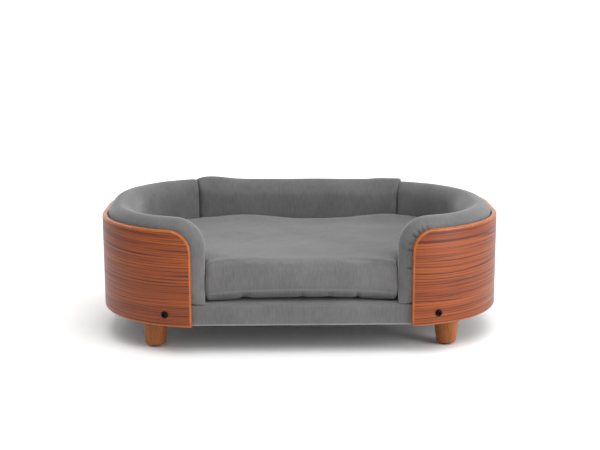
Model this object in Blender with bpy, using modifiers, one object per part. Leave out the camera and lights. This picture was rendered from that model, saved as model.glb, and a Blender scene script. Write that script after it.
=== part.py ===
"""Dog bed with a bent plywood shell, an upholstered base on four turned legs,
three loose bolsters and a loose seat cushion.

Metres, +Z up.  The origin is on the floor under the middle of the bed.
+X is the bed's right-hand side, -Y is its open front.
"""

import math

import bmesh
import bpy
import numpy as np
from mathutils import Matrix, Vector

# ---------------------------------------------------------------- plan of the shell
HALF_WIDTH = 0.350          # outer face of the shell, left and right
HALF_DEPTH = 0.220          # outer face of the shell, front and back
CORNER_R = 0.185            # plan radius of the shell's outer face
CORNER_X = HALF_WIDTH - CORNER_R
CORNER_Y = HALF_DEPTH - CORNER_R
ARC_STEPS = 10              # facets in a quarter turn of the plan

# ---------------------------------------------------------------- bent shell
PLY = 0.0095                # thickness of the bent plywood
SHELL_BOTTOM = 0.051
SHELL_TOP = 0.215
SHELL_END = 0.184           # distance of each front end from the middle
SHELL_CORNER = 0.038        # radius of each front end's top corner
RIM_ROUND = 0.0036          # rounding of the plywood's edges

# ---------------------------------------------------------------- base
GAP = 0.0003                # between pieces that touch
BASE_BOTTOM = SHELL_BOTTOM + 0.0005
BASE_TOP = 0.088
COVER_WALL = 0.0010         # upholstery fabric
BASE_DEPTH_IN = PLY + 0.0004            # depth of the base's face from the shell's outer face
RAIL_IN = BASE_DEPTH_IN + COVER_WALL + GAP
RAIL_WIDTH = 0.018
RAIL_BOTTOM = BASE_BOTTOM + 0.0009
RAIL_TOP = 0.0794
DUST_COVER = 0.0006
DECK_BOARD = 0.0040
DECK_FOAM = 0.0026
BLOCK_LENGTH = 0.0475       # radial size of a corner block
BLOCK_SPREAD = math.radians(16)
BLOCK_EASE = 0.001          # glue line between a block and its bent rail

# ---------------------------------------------------------------- legs
LEG_X = 0.251
LEG_Y = 0.147
LEG_TOP_R = 0.0225
LEG_FOOT_R = 0.017
LEG_TOP = SHELL_BOTTOM + 0.0002
GLIDE_R = 0.009
GLIDE_H = 0.003
HANGER_R = 0.004            # M8 hanger bolt
HANGER_LOW = 0.030
HANGER_HIGH = 0.077
TEE_FLANGE_R = 0.009
TEE_FLANGE = 0.0012
TEE_BARREL_R = 0.0050
TEE_BARREL = 0.010

# ---------------------------------------------------------------- shell bolts
BOLT_ANGLE = math.radians(20.2)         # round the plan corner, from the front or back
BOLT_Z = 0.0715
BOLT_R = 0.003              # M6 button-head bolt
BOLT_HEAD_R = 0.006
BOLT_HEAD = 0.0033
BOLT_LENGTH = 0.024
INSERT_R = 0.0042
INSERT_LENGTH = 0.013

# ---------------------------------------------------------------- bolsters
PAD_OUT = PLY + 0.0010      # bolster's back, measured in from the shell's outer face
PAD_IN = 0.058              # bolster's inner face, measured the same way
PAD_MID = (PAD_OUT + PAD_IN) / 2
PAD_ROLL = (PAD_IN - PAD_OUT) / 2       # half-round roll along the top and front
PAD_BOTTOM = BASE_TOP + 0.0005
SIDE_CREST = 0.232
SIDE_CORNER = 0.0495        # radius of the crest line at the front end
SIDE_FRONT = 0.161          # crest line of the front end
SIDE_BACK = 0.1925          # back end of a side bolster
BACK_CREST = 0.237
BACK_END = 0.1915           # ends of the back bolster
END_ROLL = 0.006            # slight rounding where two bolsters meet
MITRE = 0.016               # how far the back bolster tucks behind the side bolsters
FOOT_ROLL = 0.004
WINDOW = 0.012              # fabric turned over the backing board
BACKING = 0.003
FOAM_EASE = 0.0032          # foam inside the cover
PAD_ARC_START = math.radians(27)        # facets shared by every layer of a bolster
PAD_ARC_STEPS = 6

# ---------------------------------------------------------------- seat cushion
SEAT_IN = PAD_IN + 0.002    # cushion's side, measured in from the shell's outer face
SEAT_BOTTOM = BASE_TOP + 0.0005
SEAT_TOP = 0.160
SEAT_FILL_TOP = 0.1525      # the fill is slack under the top panel
TONGUE_HALF = 0.157         # front of the cushion, between the bolsters
TONGUE_FRONT = 0.199
TONGUE_CORNER = 0.014
SEAT_FILL_EASE = 0.0042
ZIP_HALF = 0.150
ZIP_LOW = 0.114
ZIP_HIGH = 0.126
ZIP_TAPE = 0.0010
TAPE_SPARE = 0.003          # tape sewn in behind the slot's edges
SLIDER_X = 0.140            # the zip is closed with its slider here
SLIDER_THICK = 0.0020

MATERIALS = {
    "veneer": ((0.30, 0.095, 0.045, 1), 0.35, 0.0),
    "birch_ply": ((0.62, 0.45, 0.27, 1), 0.6, 0.0),
    "leg_wood": ((0.28, 0.12, 0.05, 1), 0.42, 0.0),
    "grey_fabric": ((0.20, 0.20, 0.20, 1), 0.95, 0.0),
    "foam": ((0.80, 0.76, 0.62, 1), 0.95, 0.0),
    "fibre_fill": ((0.85, 0.85, 0.85, 1), 0.98, 0.0),
    "dust_cloth": ((0.02, 0.02, 0.02, 1), 0.95, 0.0),
    "black_steel": ((0.015, 0.015, 0.015, 1), 0.3, 0.8),
    "zinc_steel": ((0.55, 0.55, 0.53, 1), 0.35, 1.0),
    "glide_pad": ((0.02, 0.02, 0.02, 1), 0.8, 0.0),
    "zip_tape": ((0.10, 0.10, 0.10, 1), 0.9, 0.0),
}


# ---------------------------------------------------------------- scene helpers
def clear_scene():
    for obj in list(bpy.data.objects):
        bpy.data.objects.remove(obj, do_unlink=True)


def new_collection(name):
    collection = bpy.data.collections.new(name)
    bpy.context.scene.collection.children.link(collection)
    return collection


def make_material(name):
    colour, roughness, metallic = MATERIALS[name]
    material = bpy.data.materials.new(name)
    material.use_nodes = True
    shader = material.node_tree.nodes["Principled BSDF"]
    shader.inputs["Base Color"].default_value = colour
    shader.inputs["Roughness"].default_value = roughness
    shader.inputs["Metallic"].default_value = metallic
    return material


def material_for(name):
    return bpy.data.materials.get(name) or make_material(name)


def add_object(name, mesh, material, collection):
    obj = bpy.data.objects.new(name, mesh)
    obj.data.materials.append(material_for(material))
    collection.objects.link(obj)
    return obj


def add_cutter(name, mesh, collection):
    obj = bpy.data.objects.new(name, mesh)
    obj.hide_render = True
    obj.display_type = "WIRE"
    collection.objects.link(obj)
    return obj


def cut(obj, cutter):
    modifier = obj.modifiers.new("cut_" + cutter.name, "BOOLEAN")
    modifier.operation = "DIFFERENCE"
    modifier.object = cutter


def solidify(obj, thickness):
    """Gives an open surface a wall on its inner side."""
    modifier = obj.modifiers.new("wall", "SOLIDIFY")
    modifier.thickness = thickness
    modifier.offset = -1.0
    modifier.use_even_offset = True


def bevel(obj, width, segments, degrees):
    modifier = obj.modifiers.new("round", "BEVEL")
    modifier.width = width
    modifier.segments = segments
    modifier.limit_method = "ANGLE"
    modifier.angle_limit = math.radians(degrees)


def smooth(obj, degrees=35):
    obj.data.shade_smooth()
    obj.data.set_sharp_from_angle(angle=math.radians(degrees))


# ---------------------------------------------------------------- plan outlines
def corner_arc(depth, sign_x, sign_y, start, stop, steps):
    """Points round one plan corner; angles are measured from the front or back."""
    radius = CORNER_R - depth
    points = []
    for angle in np.linspace(start, stop, steps + 1):
        x = CORNER_X + radius * math.sin(angle)
        y = CORNER_Y + radius * math.cos(angle)
        points.append((sign_x * x, sign_y * y))
    return points


def oval(depth, steps=ARC_STEPS):
    """The shell's plan, moved in by a depth: a rounded rectangle, anticlockwise."""
    quarter = math.pi / 2
    outline = corner_arc(depth, 1, -1, 0, quarter, steps)
    outline += corner_arc(depth, 1, 1, quarter, 0, steps)
    outline += corner_arc(depth, -1, 1, 0, quarter, steps)
    outline += corner_arc(depth, -1, -1, quarter, 0, steps)
    return outline


def plan_y(x, depth):
    """Distance of the plan's front or back line from the middle, at a given x."""
    radius = CORNER_R - depth
    past = max(0.0, abs(x) - CORNER_X)
    return CORNER_Y + math.sqrt(radius * radius - past * past)


def angle_at(x, depth):
    """Angle round the plan corner at which the line reaches a given x."""
    return math.asin(max(0.0, x - CORNER_X) / (CORNER_R - depth))


# ---------------------------------------------------------------- solids
def prism_mesh(name, outline, low, high):
    """A flat outline extruded from one height to another, as a closed mesh."""
    curve = bpy.data.curves.new(name, "CURVE")
    curve.dimensions = "2D"
    curve.fill_mode = "BOTH"
    curve.extrude = (high - low) / 2
    spline = curve.splines.new("POLY")
    spline.points.add(len(outline) - 1)
    for point, (x, y) in zip(spline.points, outline):
        point.co = (x, y, 0, 1)
    spline.use_cyclic_u = True
    guide = bpy.data.objects.new(name + "_outline", curve)
    guide.location.z = (low + high) / 2
    bpy.context.scene.collection.objects.link(guide)
    bpy.context.view_layer.update()
    depsgraph = bpy.context.evaluated_depsgraph_get()
    mesh = bpy.data.meshes.new_from_object(guide.evaluated_get(depsgraph))
    mesh.transform(guide.matrix_world)
    bpy.data.objects.remove(guide, do_unlink=True)
    bm = bmesh.new()
    bm.from_mesh(mesh)
    bmesh.ops.remove_doubles(bm, verts=bm.verts, dist=1e-6)
    bmesh.ops.recalc_face_normals(bm, faces=bm.faces)
    bmesh.ops.dissolve_limit(bm, angle_limit=1e-4, verts=bm.verts, edges=bm.edges)
    bm.to_mesh(mesh)
    bm.free()
    mesh.name = name
    mesh.materials.clear()
    return mesh


def turned(obj, profile, steps):
    """Spins a profile of (radius, height) points round the object's Z axis."""
    bm = bmesh.new()
    verts = [bm.verts.new((radius, 0, height)) for radius, height in profile]
    for first, second in zip(verts, verts[1:]):
        bm.edges.new((first, second))
    bm.to_mesh(obj.data)
    bm.free()
    screw = obj.modifiers.new("turn", "SCREW")
    screw.axis = "Z"
    screw.steps = steps
    screw.render_steps = steps
    screw.use_merge_vertices = True
    screw.merge_threshold = 0.00001
    screw.use_smooth_shade = True


def turned_object(name, profile, material, collection, steps=24):
    obj = add_object(name, bpy.data.meshes.new(name), material, collection)
    turned(obj, profile, steps)
    return obj


def cylinder_mesh(name, radius, length, segments=16):
    """A closed cylinder from the origin along +Z."""
    bm = bmesh.new()
    bmesh.ops.create_cone(
        bm, cap_ends=True, segments=segments, radius1=radius, radius2=radius, depth=length
    )
    bmesh.ops.translate(bm, verts=bm.verts, vec=(0, 0, length / 2))
    mesh = bpy.data.meshes.new(name)
    bm.to_mesh(mesh)
    bm.free()
    return mesh


def box_mesh(name, low, high):
    bm = bmesh.new()
    bmesh.ops.create_cube(bm, size=1.0)
    size = Vector(high) - Vector(low)
    middle = (Vector(high) + Vector(low)) / 2
    bmesh.ops.scale(bm, verts=bm.verts, vec=size)
    bmesh.ops.translate(bm, verts=bm.verts, vec=middle)
    mesh = bpy.data.meshes.new(name)
    bm.to_mesh(mesh)
    bm.free()
    return mesh


# ---------------------------------------------------------------- bent shell
def shell_columns():
    """Right half of the blank, front end to middle of the back: (x, y, top height)."""
    columns = []
    centre_x = SHELL_END + SHELL_CORNER
    centre_z = SHELL_TOP - SHELL_CORNER
    for angle in np.linspace(0, math.pi / 2, 7):
        x = centre_x - SHELL_CORNER * math.cos(angle)
        columns.append((x, -plan_y(x, 0), centre_z + SHELL_CORNER * math.sin(angle)))
    start = angle_at(centre_x, 0)
    for x, y in corner_arc(0, 1, -1, start, math.pi / 2, ARC_STEPS)[1:]:
        columns.append((x, y, SHELL_TOP))
    for x, y in corner_arc(0, 1, 1, math.pi / 2, 0, ARC_STEPS + 2):
        columns.append((x, y, SHELL_TOP))
    columns.append((0.0, HALF_DEPTH, SHELL_TOP))
    return columns


def build_shell(parts, cutters):
    bm = bmesh.new()
    rows = []
    for x, y, top in shell_columns():
        rows.append((bm.verts.new((x, y, SHELL_BOTTOM)), bm.verts.new((x, y, top))))
    for (low_a, high_a), (low_b, high_b) in zip(rows, rows[1:]):
        bm.faces.new((low_a, low_b, high_b, high_a))
    mesh = bpy.data.meshes.new("bent_shell")
    bm.to_mesh(mesh)
    bm.free()
    shell = add_object("bent_shell", mesh, "veneer", parts)
    mirror = shell.modifiers.new("other_half", "MIRROR")
    mirror.use_axis = (True, False, False)
    mirror.merge_threshold = 0.00001
    solidify(shell, PLY)
    bevel(shell, RIM_ROUND, 2, 40)
    smooth(shell)
    for corner, matrix in bolt_places():
        hole = add_cutter(
            "shell_hole_" + corner,
            cylinder_mesh("shell_hole", BOLT_R + GAP, 3 * PLY),
            cutters,
        )
        hole.matrix_world = matrix @ Matrix.Translation((0, 0, -2 * PLY))
        cut(shell, hole)
    return shell


# ---------------------------------------------------------------- corners and bolts
def corners():
    """Each corner's name with its signs in x and y; the front is -Y."""
    return (
        ("front_left", -1, -1),
        ("front_right", 1, -1),
        ("back_left", -1, 1),
        ("back_right", 1, 1),
    )


def bolt_places():
    """Each shell bolt's place: origin on the shell's outer face, +Z outwards."""
    places = []
    for corner, sign_x, sign_y in corners():
        outward = Vector((sign_x * math.sin(BOLT_ANGLE), sign_y * math.cos(BOLT_ANGLE), 0))
        centre = Vector((sign_x * CORNER_X, sign_y * CORNER_Y, BOLT_Z))
        turn = outward.to_track_quat("Z", "Y").to_matrix().to_4x4()
        places.append((corner, Matrix.Translation(centre + CORNER_R * outward) @ turn))
    return places


def build_shell_bolts(parts):
    """Button-head bolts with a socket, and the threaded inserts that they screw into."""
    base = GAP
    top = BOLT_HEAD + GAP
    bolt_profile = (
        (0, top - 0.0018),
        (0.0020, top - 0.0018),
        (0.0020, top),
        (0.0036, top),
        (0.0054, top - 0.0010),
        (BOLT_HEAD_R, top - 0.0024),
        (BOLT_HEAD_R, base),
        (BOLT_R, base),
        (BOLT_R, base - BOLT_LENGTH + 0.001),
        (BOLT_R - 0.0008, base - BOLT_LENGTH),
        (0, base - BOLT_LENGTH),
    )
    insert_top = -RAIL_IN - GAP
    insert_profile = (
        (BOLT_R + GAP, insert_top - INSERT_LENGTH),
        (BOLT_R + GAP, insert_top),
        (INSERT_R, insert_top),
        (INSERT_R, insert_top - INSERT_LENGTH),
        (BOLT_R + GAP, insert_top - INSERT_LENGTH),
    )
    for corner, matrix in bolt_places():
        bolt = turned_object("shell_bolt_" + corner, bolt_profile, "black_steel", parts, 16)
        bolt.matrix_world = matrix
        insert = turned_object(
            "threaded_insert_" + corner, insert_profile, "zinc_steel", parts, 16
        )
        insert.matrix_world = matrix


# ---------------------------------------------------------------- base
def build_rails(parts, cutters):
    """Rails under the deck: straight front, back and centre, bent left and right."""
    outer = HALF_DEPTH - RAIL_IN
    inner = outer - RAIL_WIDTH
    half = CORNER_X - GAP
    front = box_mesh("front_rail", (-half, -outer, RAIL_BOTTOM), (half, -inner, RAIL_TOP))
    add_object("front_rail", front, "birch_ply", parts)
    back = box_mesh("back_rail", (-half, inner, RAIL_BOTTOM), (half, outer, RAIL_TOP))
    add_object("back_rail", back, "birch_ply", parts)
    reach = inner - GAP
    half_rail = RAIL_WIDTH / 2
    centre = box_mesh(
        "centre_rail", (-half_rail, -reach, RAIL_BOTTOM), (half_rail, reach, RAIL_TOP)
    )
    add_object("centre_rail", centre, "birch_ply", parts)
    quarter = math.pi / 2
    for side, sign in (("left", -1), ("right", 1)):
        outline = corner_arc(RAIL_IN, sign, -1, 0, quarter, ARC_STEPS)
        outline += corner_arc(RAIL_IN, sign, 1, quarter, 0, ARC_STEPS)
        inner_depth = RAIL_IN + RAIL_WIDTH
        outline += corner_arc(inner_depth, sign, 1, 0, quarter, ARC_STEPS)
        outline += corner_arc(inner_depth, sign, -1, quarter, 0, ARC_STEPS)
        name = side + "_end_rail"
        rail = add_object(
            name, prism_mesh(name, outline, RAIL_BOTTOM, RAIL_TOP), "birch_ply", parts
        )
        for corner, matrix in bolt_places():
            if side in corner:
                bore_length = INSERT_LENGTH + 0.004
                bore = add_cutter(
                    "rail_bore_" + corner,
                    cylinder_mesh("rail_bore", INSERT_R + GAP, bore_length),
                    cutters,
                )
                shift = -RAIL_IN - INSERT_LENGTH - 0.001
                bore.matrix_world = matrix @ Matrix.Translation((0, 0, shift))
                cut(rail, bore)


def block_outline(sign_x, sign_y):
    """A corner block: a sector of a ring that fits inside the bent rail."""
    middle = math.atan2(LEG_X - CORNER_X, LEG_Y - CORNER_Y)
    depth_out = RAIL_IN + RAIL_WIDTH + BLOCK_EASE
    start = middle - BLOCK_SPREAD
    stop = middle + BLOCK_SPREAD
    outline = corner_arc(depth_out, sign_x, sign_y, start, stop, 4)
    outline += corner_arc(depth_out + BLOCK_LENGTH, sign_x, sign_y, stop, start, 2)
    return outline


def build_corner_blocks(parts, cutters):
    """Blocks that the legs screw into, bored for a tee nut with its flange on top."""
    for corner, sign_x, sign_y in corners():
        name = "corner_block_" + corner
        mesh = prism_mesh(name, block_outline(sign_x, sign_y), RAIL_BOTTOM, RAIL_TOP)
        block = add_object(name, mesh, "birch_ply", parts)
        place = Vector((sign_x * LEG_X, sign_y * LEG_Y, 0))
        bore = add_cutter(
            "block_bore_" + corner,
            cylinder_mesh("block_bore", TEE_BARREL_R + GAP, 0.040),
            cutters,
        )
        bore.location = place + Vector((0, 0, RAIL_BOTTOM - 0.005))
        cut(block, bore)
        sink = add_cutter(
            "block_sink_" + corner,
            cylinder_mesh("block_sink", TEE_FLANGE_R + GAP, 0.010),
            cutters,
        )
        sink.location = place + Vector((0, 0, RAIL_TOP - TEE_FLANGE - 2 * GAP))
        cut(block, sink)


def build_base(parts, cutters):
    """Deck board, deck foam, dust cover, and the fabric tray that wraps them."""
    board_low = RAIL_TOP + GAP
    board_high = board_low + DECK_BOARD
    board = prism_mesh("deck_board", oval(RAIL_IN), board_low, board_high)
    add_object("deck_board", board, "birch_ply", parts)
    foam_low = board_high + GAP
    foam = prism_mesh("deck_foam", oval(RAIL_IN + 0.003), foam_low, foam_low + DECK_FOAM)
    add_object("deck_foam", foam, "foam", parts)

    dust = prism_mesh(
        "dust_cover", oval(RAIL_IN), BASE_BOTTOM, BASE_BOTTOM + DUST_COVER
    )
    dust_cover = add_object("dust_cover", dust, "dust_cloth", parts)
    for corner, sign_x, sign_y in corners():
        hole = add_cutter(
            "dust_hole_" + corner, cylinder_mesh("dust_hole", 0.006, 0.010), cutters
        )
        hole.location = (sign_x * LEG_X, sign_y * LEG_Y, BASE_BOTTOM - 0.005)
        cut(dust_cover, hole)

    tray = prism_mesh("base_cover", oval(BASE_DEPTH_IN), BASE_BOTTOM, BASE_TOP)
    bm = bmesh.new()
    bm.from_mesh(tray)
    floor = [face for face in bm.faces if face.normal.z < -0.5]
    bmesh.ops.delete(bm, geom=floor, context="FACES_ONLY")
    bm.to_mesh(tray)
    bm.free()
    cover = add_object("base_cover", tray, "grey_fabric", parts)
    bevel(cover, 0.0025, 2, 60)
    solidify(cover, COVER_WALL)
    smooth(cover)
    for corner, matrix in bolt_places():
        slit = add_cutter(
            "cover_hole_" + corner,
            cylinder_mesh("cover_hole", BOLT_R + GAP, 0.006),
            cutters,
        )
        slit.matrix_world = matrix @ Matrix.Translation((0, 0, -BASE_DEPTH_IN - 0.004))
        cut(cover, slit)


# ---------------------------------------------------------------- legs
def build_legs(parts):
    leg_low = GLIDE_H + GAP
    leg_profile = (
        (0, HANGER_LOW - 0.001),
        (HANGER_R + GAP, HANGER_LOW - 0.001),
        (HANGER_R + GAP, LEG_TOP),
        (LEG_TOP_R - 0.0006, LEG_TOP),
        (LEG_TOP_R, LEG_TOP - 0.0006),
        (LEG_FOOT_R, leg_low + 0.0022),
        (LEG_FOOT_R - 0.0008, leg_low + 0.0006),
        (LEG_FOOT_R - 0.0024, leg_low),
        (0, leg_low),
    )
    glide_profile = (
        (0, GLIDE_H),
        (GLIDE_R, GLIDE_H),
        (GLIDE_R, 0.0006),
        (GLIDE_R - 0.0006, 0),
        (0, 0),
    )
    hanger_profile = (
        (0, HANGER_HIGH),
        (HANGER_R - 0.0008, HANGER_HIGH),
        (HANGER_R, HANGER_HIGH - 0.001),
        (HANGER_R, HANGER_LOW + 0.003),
        (0.0008, HANGER_LOW),
        (0, HANGER_LOW),
    )
    flange_top = RAIL_TOP - GAP
    flange_low = flange_top - TEE_FLANGE
    tee_profile = (
        (HANGER_R + GAP, flange_low - TEE_BARREL),
        (HANGER_R + GAP, flange_top),
        (TEE_FLANGE_R, flange_top),
        (TEE_FLANGE_R, flange_low),
        (TEE_BARREL_R, flange_low),
        (TEE_BARREL_R, flange_low - TEE_BARREL),
        (HANGER_R + GAP, flange_low - TEE_BARREL),
    )
    kinds = (
        ("leg_", leg_profile, "leg_wood", 24),
        ("glide_", glide_profile, "glide_pad", 20),
        ("hanger_bolt_", hanger_profile, "zinc_steel", 12),
        ("tee_nut_", tee_profile, "zinc_steel", 16),
    )
    for corner, sign_x, sign_y in corners():
        for prefix, profile, material, steps in kinds:
            piece = turned_object(prefix + corner, profile, material, parts, steps)
            piece.location = (sign_x * LEG_X, sign_y * LEG_Y, 0)


# ---------------------------------------------------------------- bolsters
def mitre(depth):
    """Shift of a meeting end at one depth: the bolsters' ends are cut at a slant."""
    return MITRE * (PAD_IN - depth) / (PAD_IN - PAD_OUT)


def side_columns(depth, inset, end_inset):
    """Right bolster at one depth, front end to back end: (x, y, top height)."""
    columns = []
    radius = SIDE_CORNER - inset
    centre_x = SIDE_FRONT + SIDE_CORNER
    centre_z = SIDE_CREST - SIDE_CORNER
    for angle in np.linspace(0, math.pi / 2, 5):
        x = centre_x - radius * math.cos(angle)
        columns.append((x, -plan_y(x, depth), centre_z + radius * math.sin(angle)))
    top = SIDE_CREST - inset
    turns = np.linspace(PAD_ARC_START, math.pi / 2, PAD_ARC_STEPS + 1)
    for angle in turns:
        columns += [(x, y, top) for x, y in corner_arc(depth, 1, -1, angle, angle, 0)]
    for angle in turns[::-1]:
        columns += [(x, y, top) for x, y in corner_arc(depth, 1, 1, angle, angle, 0)]
    end_x = SIDE_BACK + mitre(depth) + end_inset
    columns.append((end_x, plan_y(end_x, depth), top))
    return columns


def back_columns(depth, inset, end_inset):
    """Back bolster at one depth, right end to left end: (x, y, top height)."""
    half = BACK_END + mitre(depth) - end_inset
    columns = []
    for x in (half, (half + CORNER_X) / 2, CORNER_X, 0.0):
        columns.append((x, plan_y(x, depth), BACK_CREST - inset))
    columns += [(-x, y, z) for x, y, z in reversed(columns[:-1])]
    return columns


def pad_surface(bm, columns_at, rings, close_first):
    """Skins a pad over its rings of (depth, top inset, end inset, foot inset)."""
    loops = []
    for depth, inset, end_inset, foot in rings:
        loop = []
        for x, y, top in columns_at(depth, inset, end_inset):
            low = bm.verts.new((x, y, PAD_BOTTOM + foot))
            loop.append((low, bm.verts.new((x, y, top))))
        loops.append(loop)
    for near, far in zip(loops, loops[1:]):
        for index in range(len(near) - 1):
            low_a, high_a = near[index]
            low_b, high_b = near[index + 1]
            low_c, high_c = far[index + 1]
            low_d, high_d = far[index]
            bm.faces.new((high_a, high_b, high_c, high_d))
            bm.faces.new((low_d, low_c, low_b, low_a))
        for index in (0, -1):
            end = (near[index][0], near[index][1], far[index][1], far[index][0])
            bm.faces.new(end if index == 0 else end[::-1])
    caps = [(loops[-1], 1)]
    if close_first:
        caps.append((loops[0], -1))
    for loop, order in caps:
        for (low_a, high_a), (low_b, high_b) in zip(loop, loop[1:]):
            face = (low_b, low_a, high_a, high_b)
            bm.faces.new(face if order == 1 else face[::-1])


def pad_mesh(name, columns_at, rings, close_first, mirror_x):
    bm = bmesh.new()
    pad_surface(bm, columns_at, rings, close_first)
    if mirror_x:
        bmesh.ops.scale(bm, verts=bm.verts, vec=(-1, 1, 1))
        bmesh.ops.reverse_faces(bm, faces=bm.faces)
    mesh = bpy.data.meshes.new(name)
    bm.to_mesh(mesh)
    bm.free()
    return mesh


def roll_rings(out_depth, in_depth, ease, quarter_steps):
    """Rings over a half-round edge, from the back face to the inner face."""
    middle = (out_depth + in_depth) / 2
    radius = (in_depth - out_depth) / 2
    rings = []
    for angle in np.linspace(-math.pi / 2, math.pi / 2, 2 * quarter_steps + 1):
        fall = 1 - math.cos(angle)
        rings.append(
            (
                middle + radius * math.sin(angle),
                ease + radius * fall,
                ease + END_ROLL * fall,
                ease + FOOT_ROLL * fall,
            )
        )
    return rings


def build_bolsters(parts):
    """Each bolster is an open-backed cover over foam and a thin backing board."""
    kinds = (
        ("left_bolster", side_columns, True),
        ("right_bolster", side_columns, False),
        ("back_bolster", back_columns, False),
    )
    board_out = PAD_OUT + COVER_WALL + 3 * GAP
    board_in = board_out + BACKING
    foam_out = board_in + GAP
    foam_in = PAD_IN - COVER_WALL - GAP
    for name, columns_at, mirror_x in kinds:
        cover_rings = roll_rings(PAD_OUT, PAD_IN, 0.0, 2)
        window = (
            PAD_OUT,
            PAD_ROLL + WINDOW,
            END_ROLL + WINDOW,
            FOOT_ROLL + WINDOW,
        )
        mesh = pad_mesh(name + "_cover", columns_at, [window] + cover_rings, False, mirror_x)
        cover = add_object(name + "_cover", mesh, "grey_fabric", parts)
        solidify(cover, COVER_WALL)
        smooth(cover, 60)

        foam_rings = roll_rings(foam_out, foam_in, FOAM_EASE, 1)
        mesh = pad_mesh(name + "_foam", columns_at, foam_rings, True, mirror_x)
        smooth(add_object(name + "_foam", mesh, "foam", parts), 60)

        board_rings = [
            (depth, PAD_ROLL, END_ROLL + FOAM_EASE, FOOT_ROLL + FOAM_EASE)
            for depth in (board_out, board_in)
        ]
        mesh = pad_mesh(name + "_board", columns_at, board_rings, True, mirror_x)
        add_object(name + "_board", mesh, "birch_ply", parts)


# ---------------------------------------------------------------- seat cushion
def seat_outline(inset):
    """Oval that fits inside the bolsters, with a tongue between their front ends."""
    depth = SEAT_IN + inset
    quarter = math.pi / 2
    tongue = TONGUE_HALF - inset
    radius = TONGUE_CORNER
    front = -(TONGUE_FRONT - inset)
    outline = [(tongue, -(HALF_DEPTH - depth))]
    outline += corner_arc(depth, 1, -1, 0, quarter, 6)
    outline += corner_arc(depth, 1, 1, quarter, 0, 6)
    outline += [(ZIP_HALF, HALF_DEPTH - depth), (-ZIP_HALF, HALF_DEPTH - depth)]
    outline += corner_arc(depth, -1, 1, 0, quarter, 6)
    outline += corner_arc(depth, -1, -1, quarter, 0, 6)
    outline.append((-tongue, -(HALF_DEPTH - depth)))
    for sign, angles in ((-1, (0, 0.5, 1)), (1, (1, 0.5, 0))):
        for share in angles:
            turn = share * quarter
            x = tongue - radius + radius * math.cos(turn)
            y = front + radius - radius * math.sin(turn)
            outline.append((sign * x, y))
    return outline


def seat_mesh(name, levels, inset, slot):
    """Stacks the cushion's outline over its levels of (inset, height)."""
    bm = bmesh.new()
    loops = []
    for level_inset, height in levels:
        outline = seat_outline(inset + level_inset)
        loops.append([bm.verts.new((x, y, height)) for x, y in outline])
    bm.faces.new(loops[0][::-1])
    bm.faces.new(loops[-1])
    for low, high in zip(loops, loops[1:]):
        for index in range(len(low)):
            after = (index + 1) % len(low)
            bm.faces.new((low[index], low[after], high[after], high[index]))
    if slot:
        bm.normal_update()
        zip_height = (ZIP_LOW + ZIP_HIGH) / 2
        gone = [
            face
            for face in bm.faces
            if abs(face.calc_center_median().x) < 0.001
            and face.normal.y > 0.9
            and abs(face.calc_center_median().z - zip_height) < 0.001
        ]
        bmesh.ops.delete(bm, geom=gone, context="FACES")
    mesh = bpy.data.meshes.new(name)
    bm.to_mesh(mesh)
    bm.free()
    return mesh


def build_seat_cushion(parts):
    """A zipped cover over a loose fibre fill; the zip is along the back."""
    levels = (
        (0.012, SEAT_BOTTOM),
        (0.003, SEAT_BOTTOM + 0.005),
        (0.0, ZIP_LOW - 2 * TAPE_SPARE),
        (0.0, ZIP_LOW),
        (0.0, ZIP_HIGH),
        (0.0, ZIP_HIGH + 2 * TAPE_SPARE),
        (0.004, SEAT_TOP - 0.0185),
        (0.012, SEAT_TOP - 0.0090),
        (0.024, SEAT_TOP - 0.0030),
        (0.040, SEAT_TOP),
    )
    mesh = seat_mesh("seat_cushion_cover", levels, 0.0, True)
    cover = add_object("seat_cushion_cover", mesh, "grey_fabric", parts)
    solidify(cover, COVER_WALL)
    smooth(cover, 50)

    lift = COVER_WALL + 0.0008
    fill_levels = (
        (0.030, SEAT_BOTTOM + lift),
        (0.012, SEAT_BOTTOM + 0.0085),
        (0.003, SEAT_BOTTOM + 0.015),
        (0.0, SEAT_BOTTOM + 0.022),
        (0.0, SEAT_FILL_TOP - 0.0225),
        (0.006, SEAT_FILL_TOP - 0.0115),
        (0.016, SEAT_FILL_TOP - 0.004),
        (0.034, SEAT_FILL_TOP),
    )
    mesh = seat_mesh("seat_cushion_fill", fill_levels, SEAT_FILL_EASE, False)
    smooth(add_object("seat_cushion_fill", mesh, "fibre_fill", parts), 50)

    wall = HALF_DEPTH - SEAT_IN
    tape_y = wall - COVER_WALL - GAP
    tape = box_mesh(
        "zip_tape",
        (-ZIP_HALF - TAPE_SPARE, tape_y - ZIP_TAPE, ZIP_LOW - TAPE_SPARE),
        (ZIP_HALF + TAPE_SPARE, tape_y, ZIP_HIGH + TAPE_SPARE),
    )
    add_object("zip_tape", tape, "zip_tape", parts)

    body = 0.0045
    half_height = 0.0040
    tab_half = 0.0022
    tab_end = -0.022
    outline = [
        (body, -half_height),
        (body, half_height),
        (-body, half_height),
        (-body - 0.003, tab_half),
        (tab_end, tab_half),
        (tab_end - 0.001, 0.0),
        (tab_end, -tab_half),
        (-body - 0.003, -tab_half),
        (-body, -half_height),
    ]
    mesh = prism_mesh("zip_slider", outline, 0.0, SLIDER_THICK)
    slider = add_object("zip_slider", mesh, "black_steel", parts)
    slider.rotation_euler = (math.pi / 2, 0, 0)
    slider.location = (SLIDER_X, tape_y + GAP + SLIDER_THICK, (ZIP_LOW + ZIP_HIGH) / 2)


# ---------------------------------------------------------------- whole bed
def main():
    clear_scene()
    parts = new_collection("dog_bed_with_frame")
    cutters = new_collection("cutters")
    build_shell(parts, cutters)
    build_shell_bolts(parts)
    build_rails(parts, cutters)
    build_corner_blocks(parts, cutters)
    build_base(parts, cutters)
    build_legs(parts)
    build_bolsters(parts)
    build_seat_cushion(parts)


main()
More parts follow.
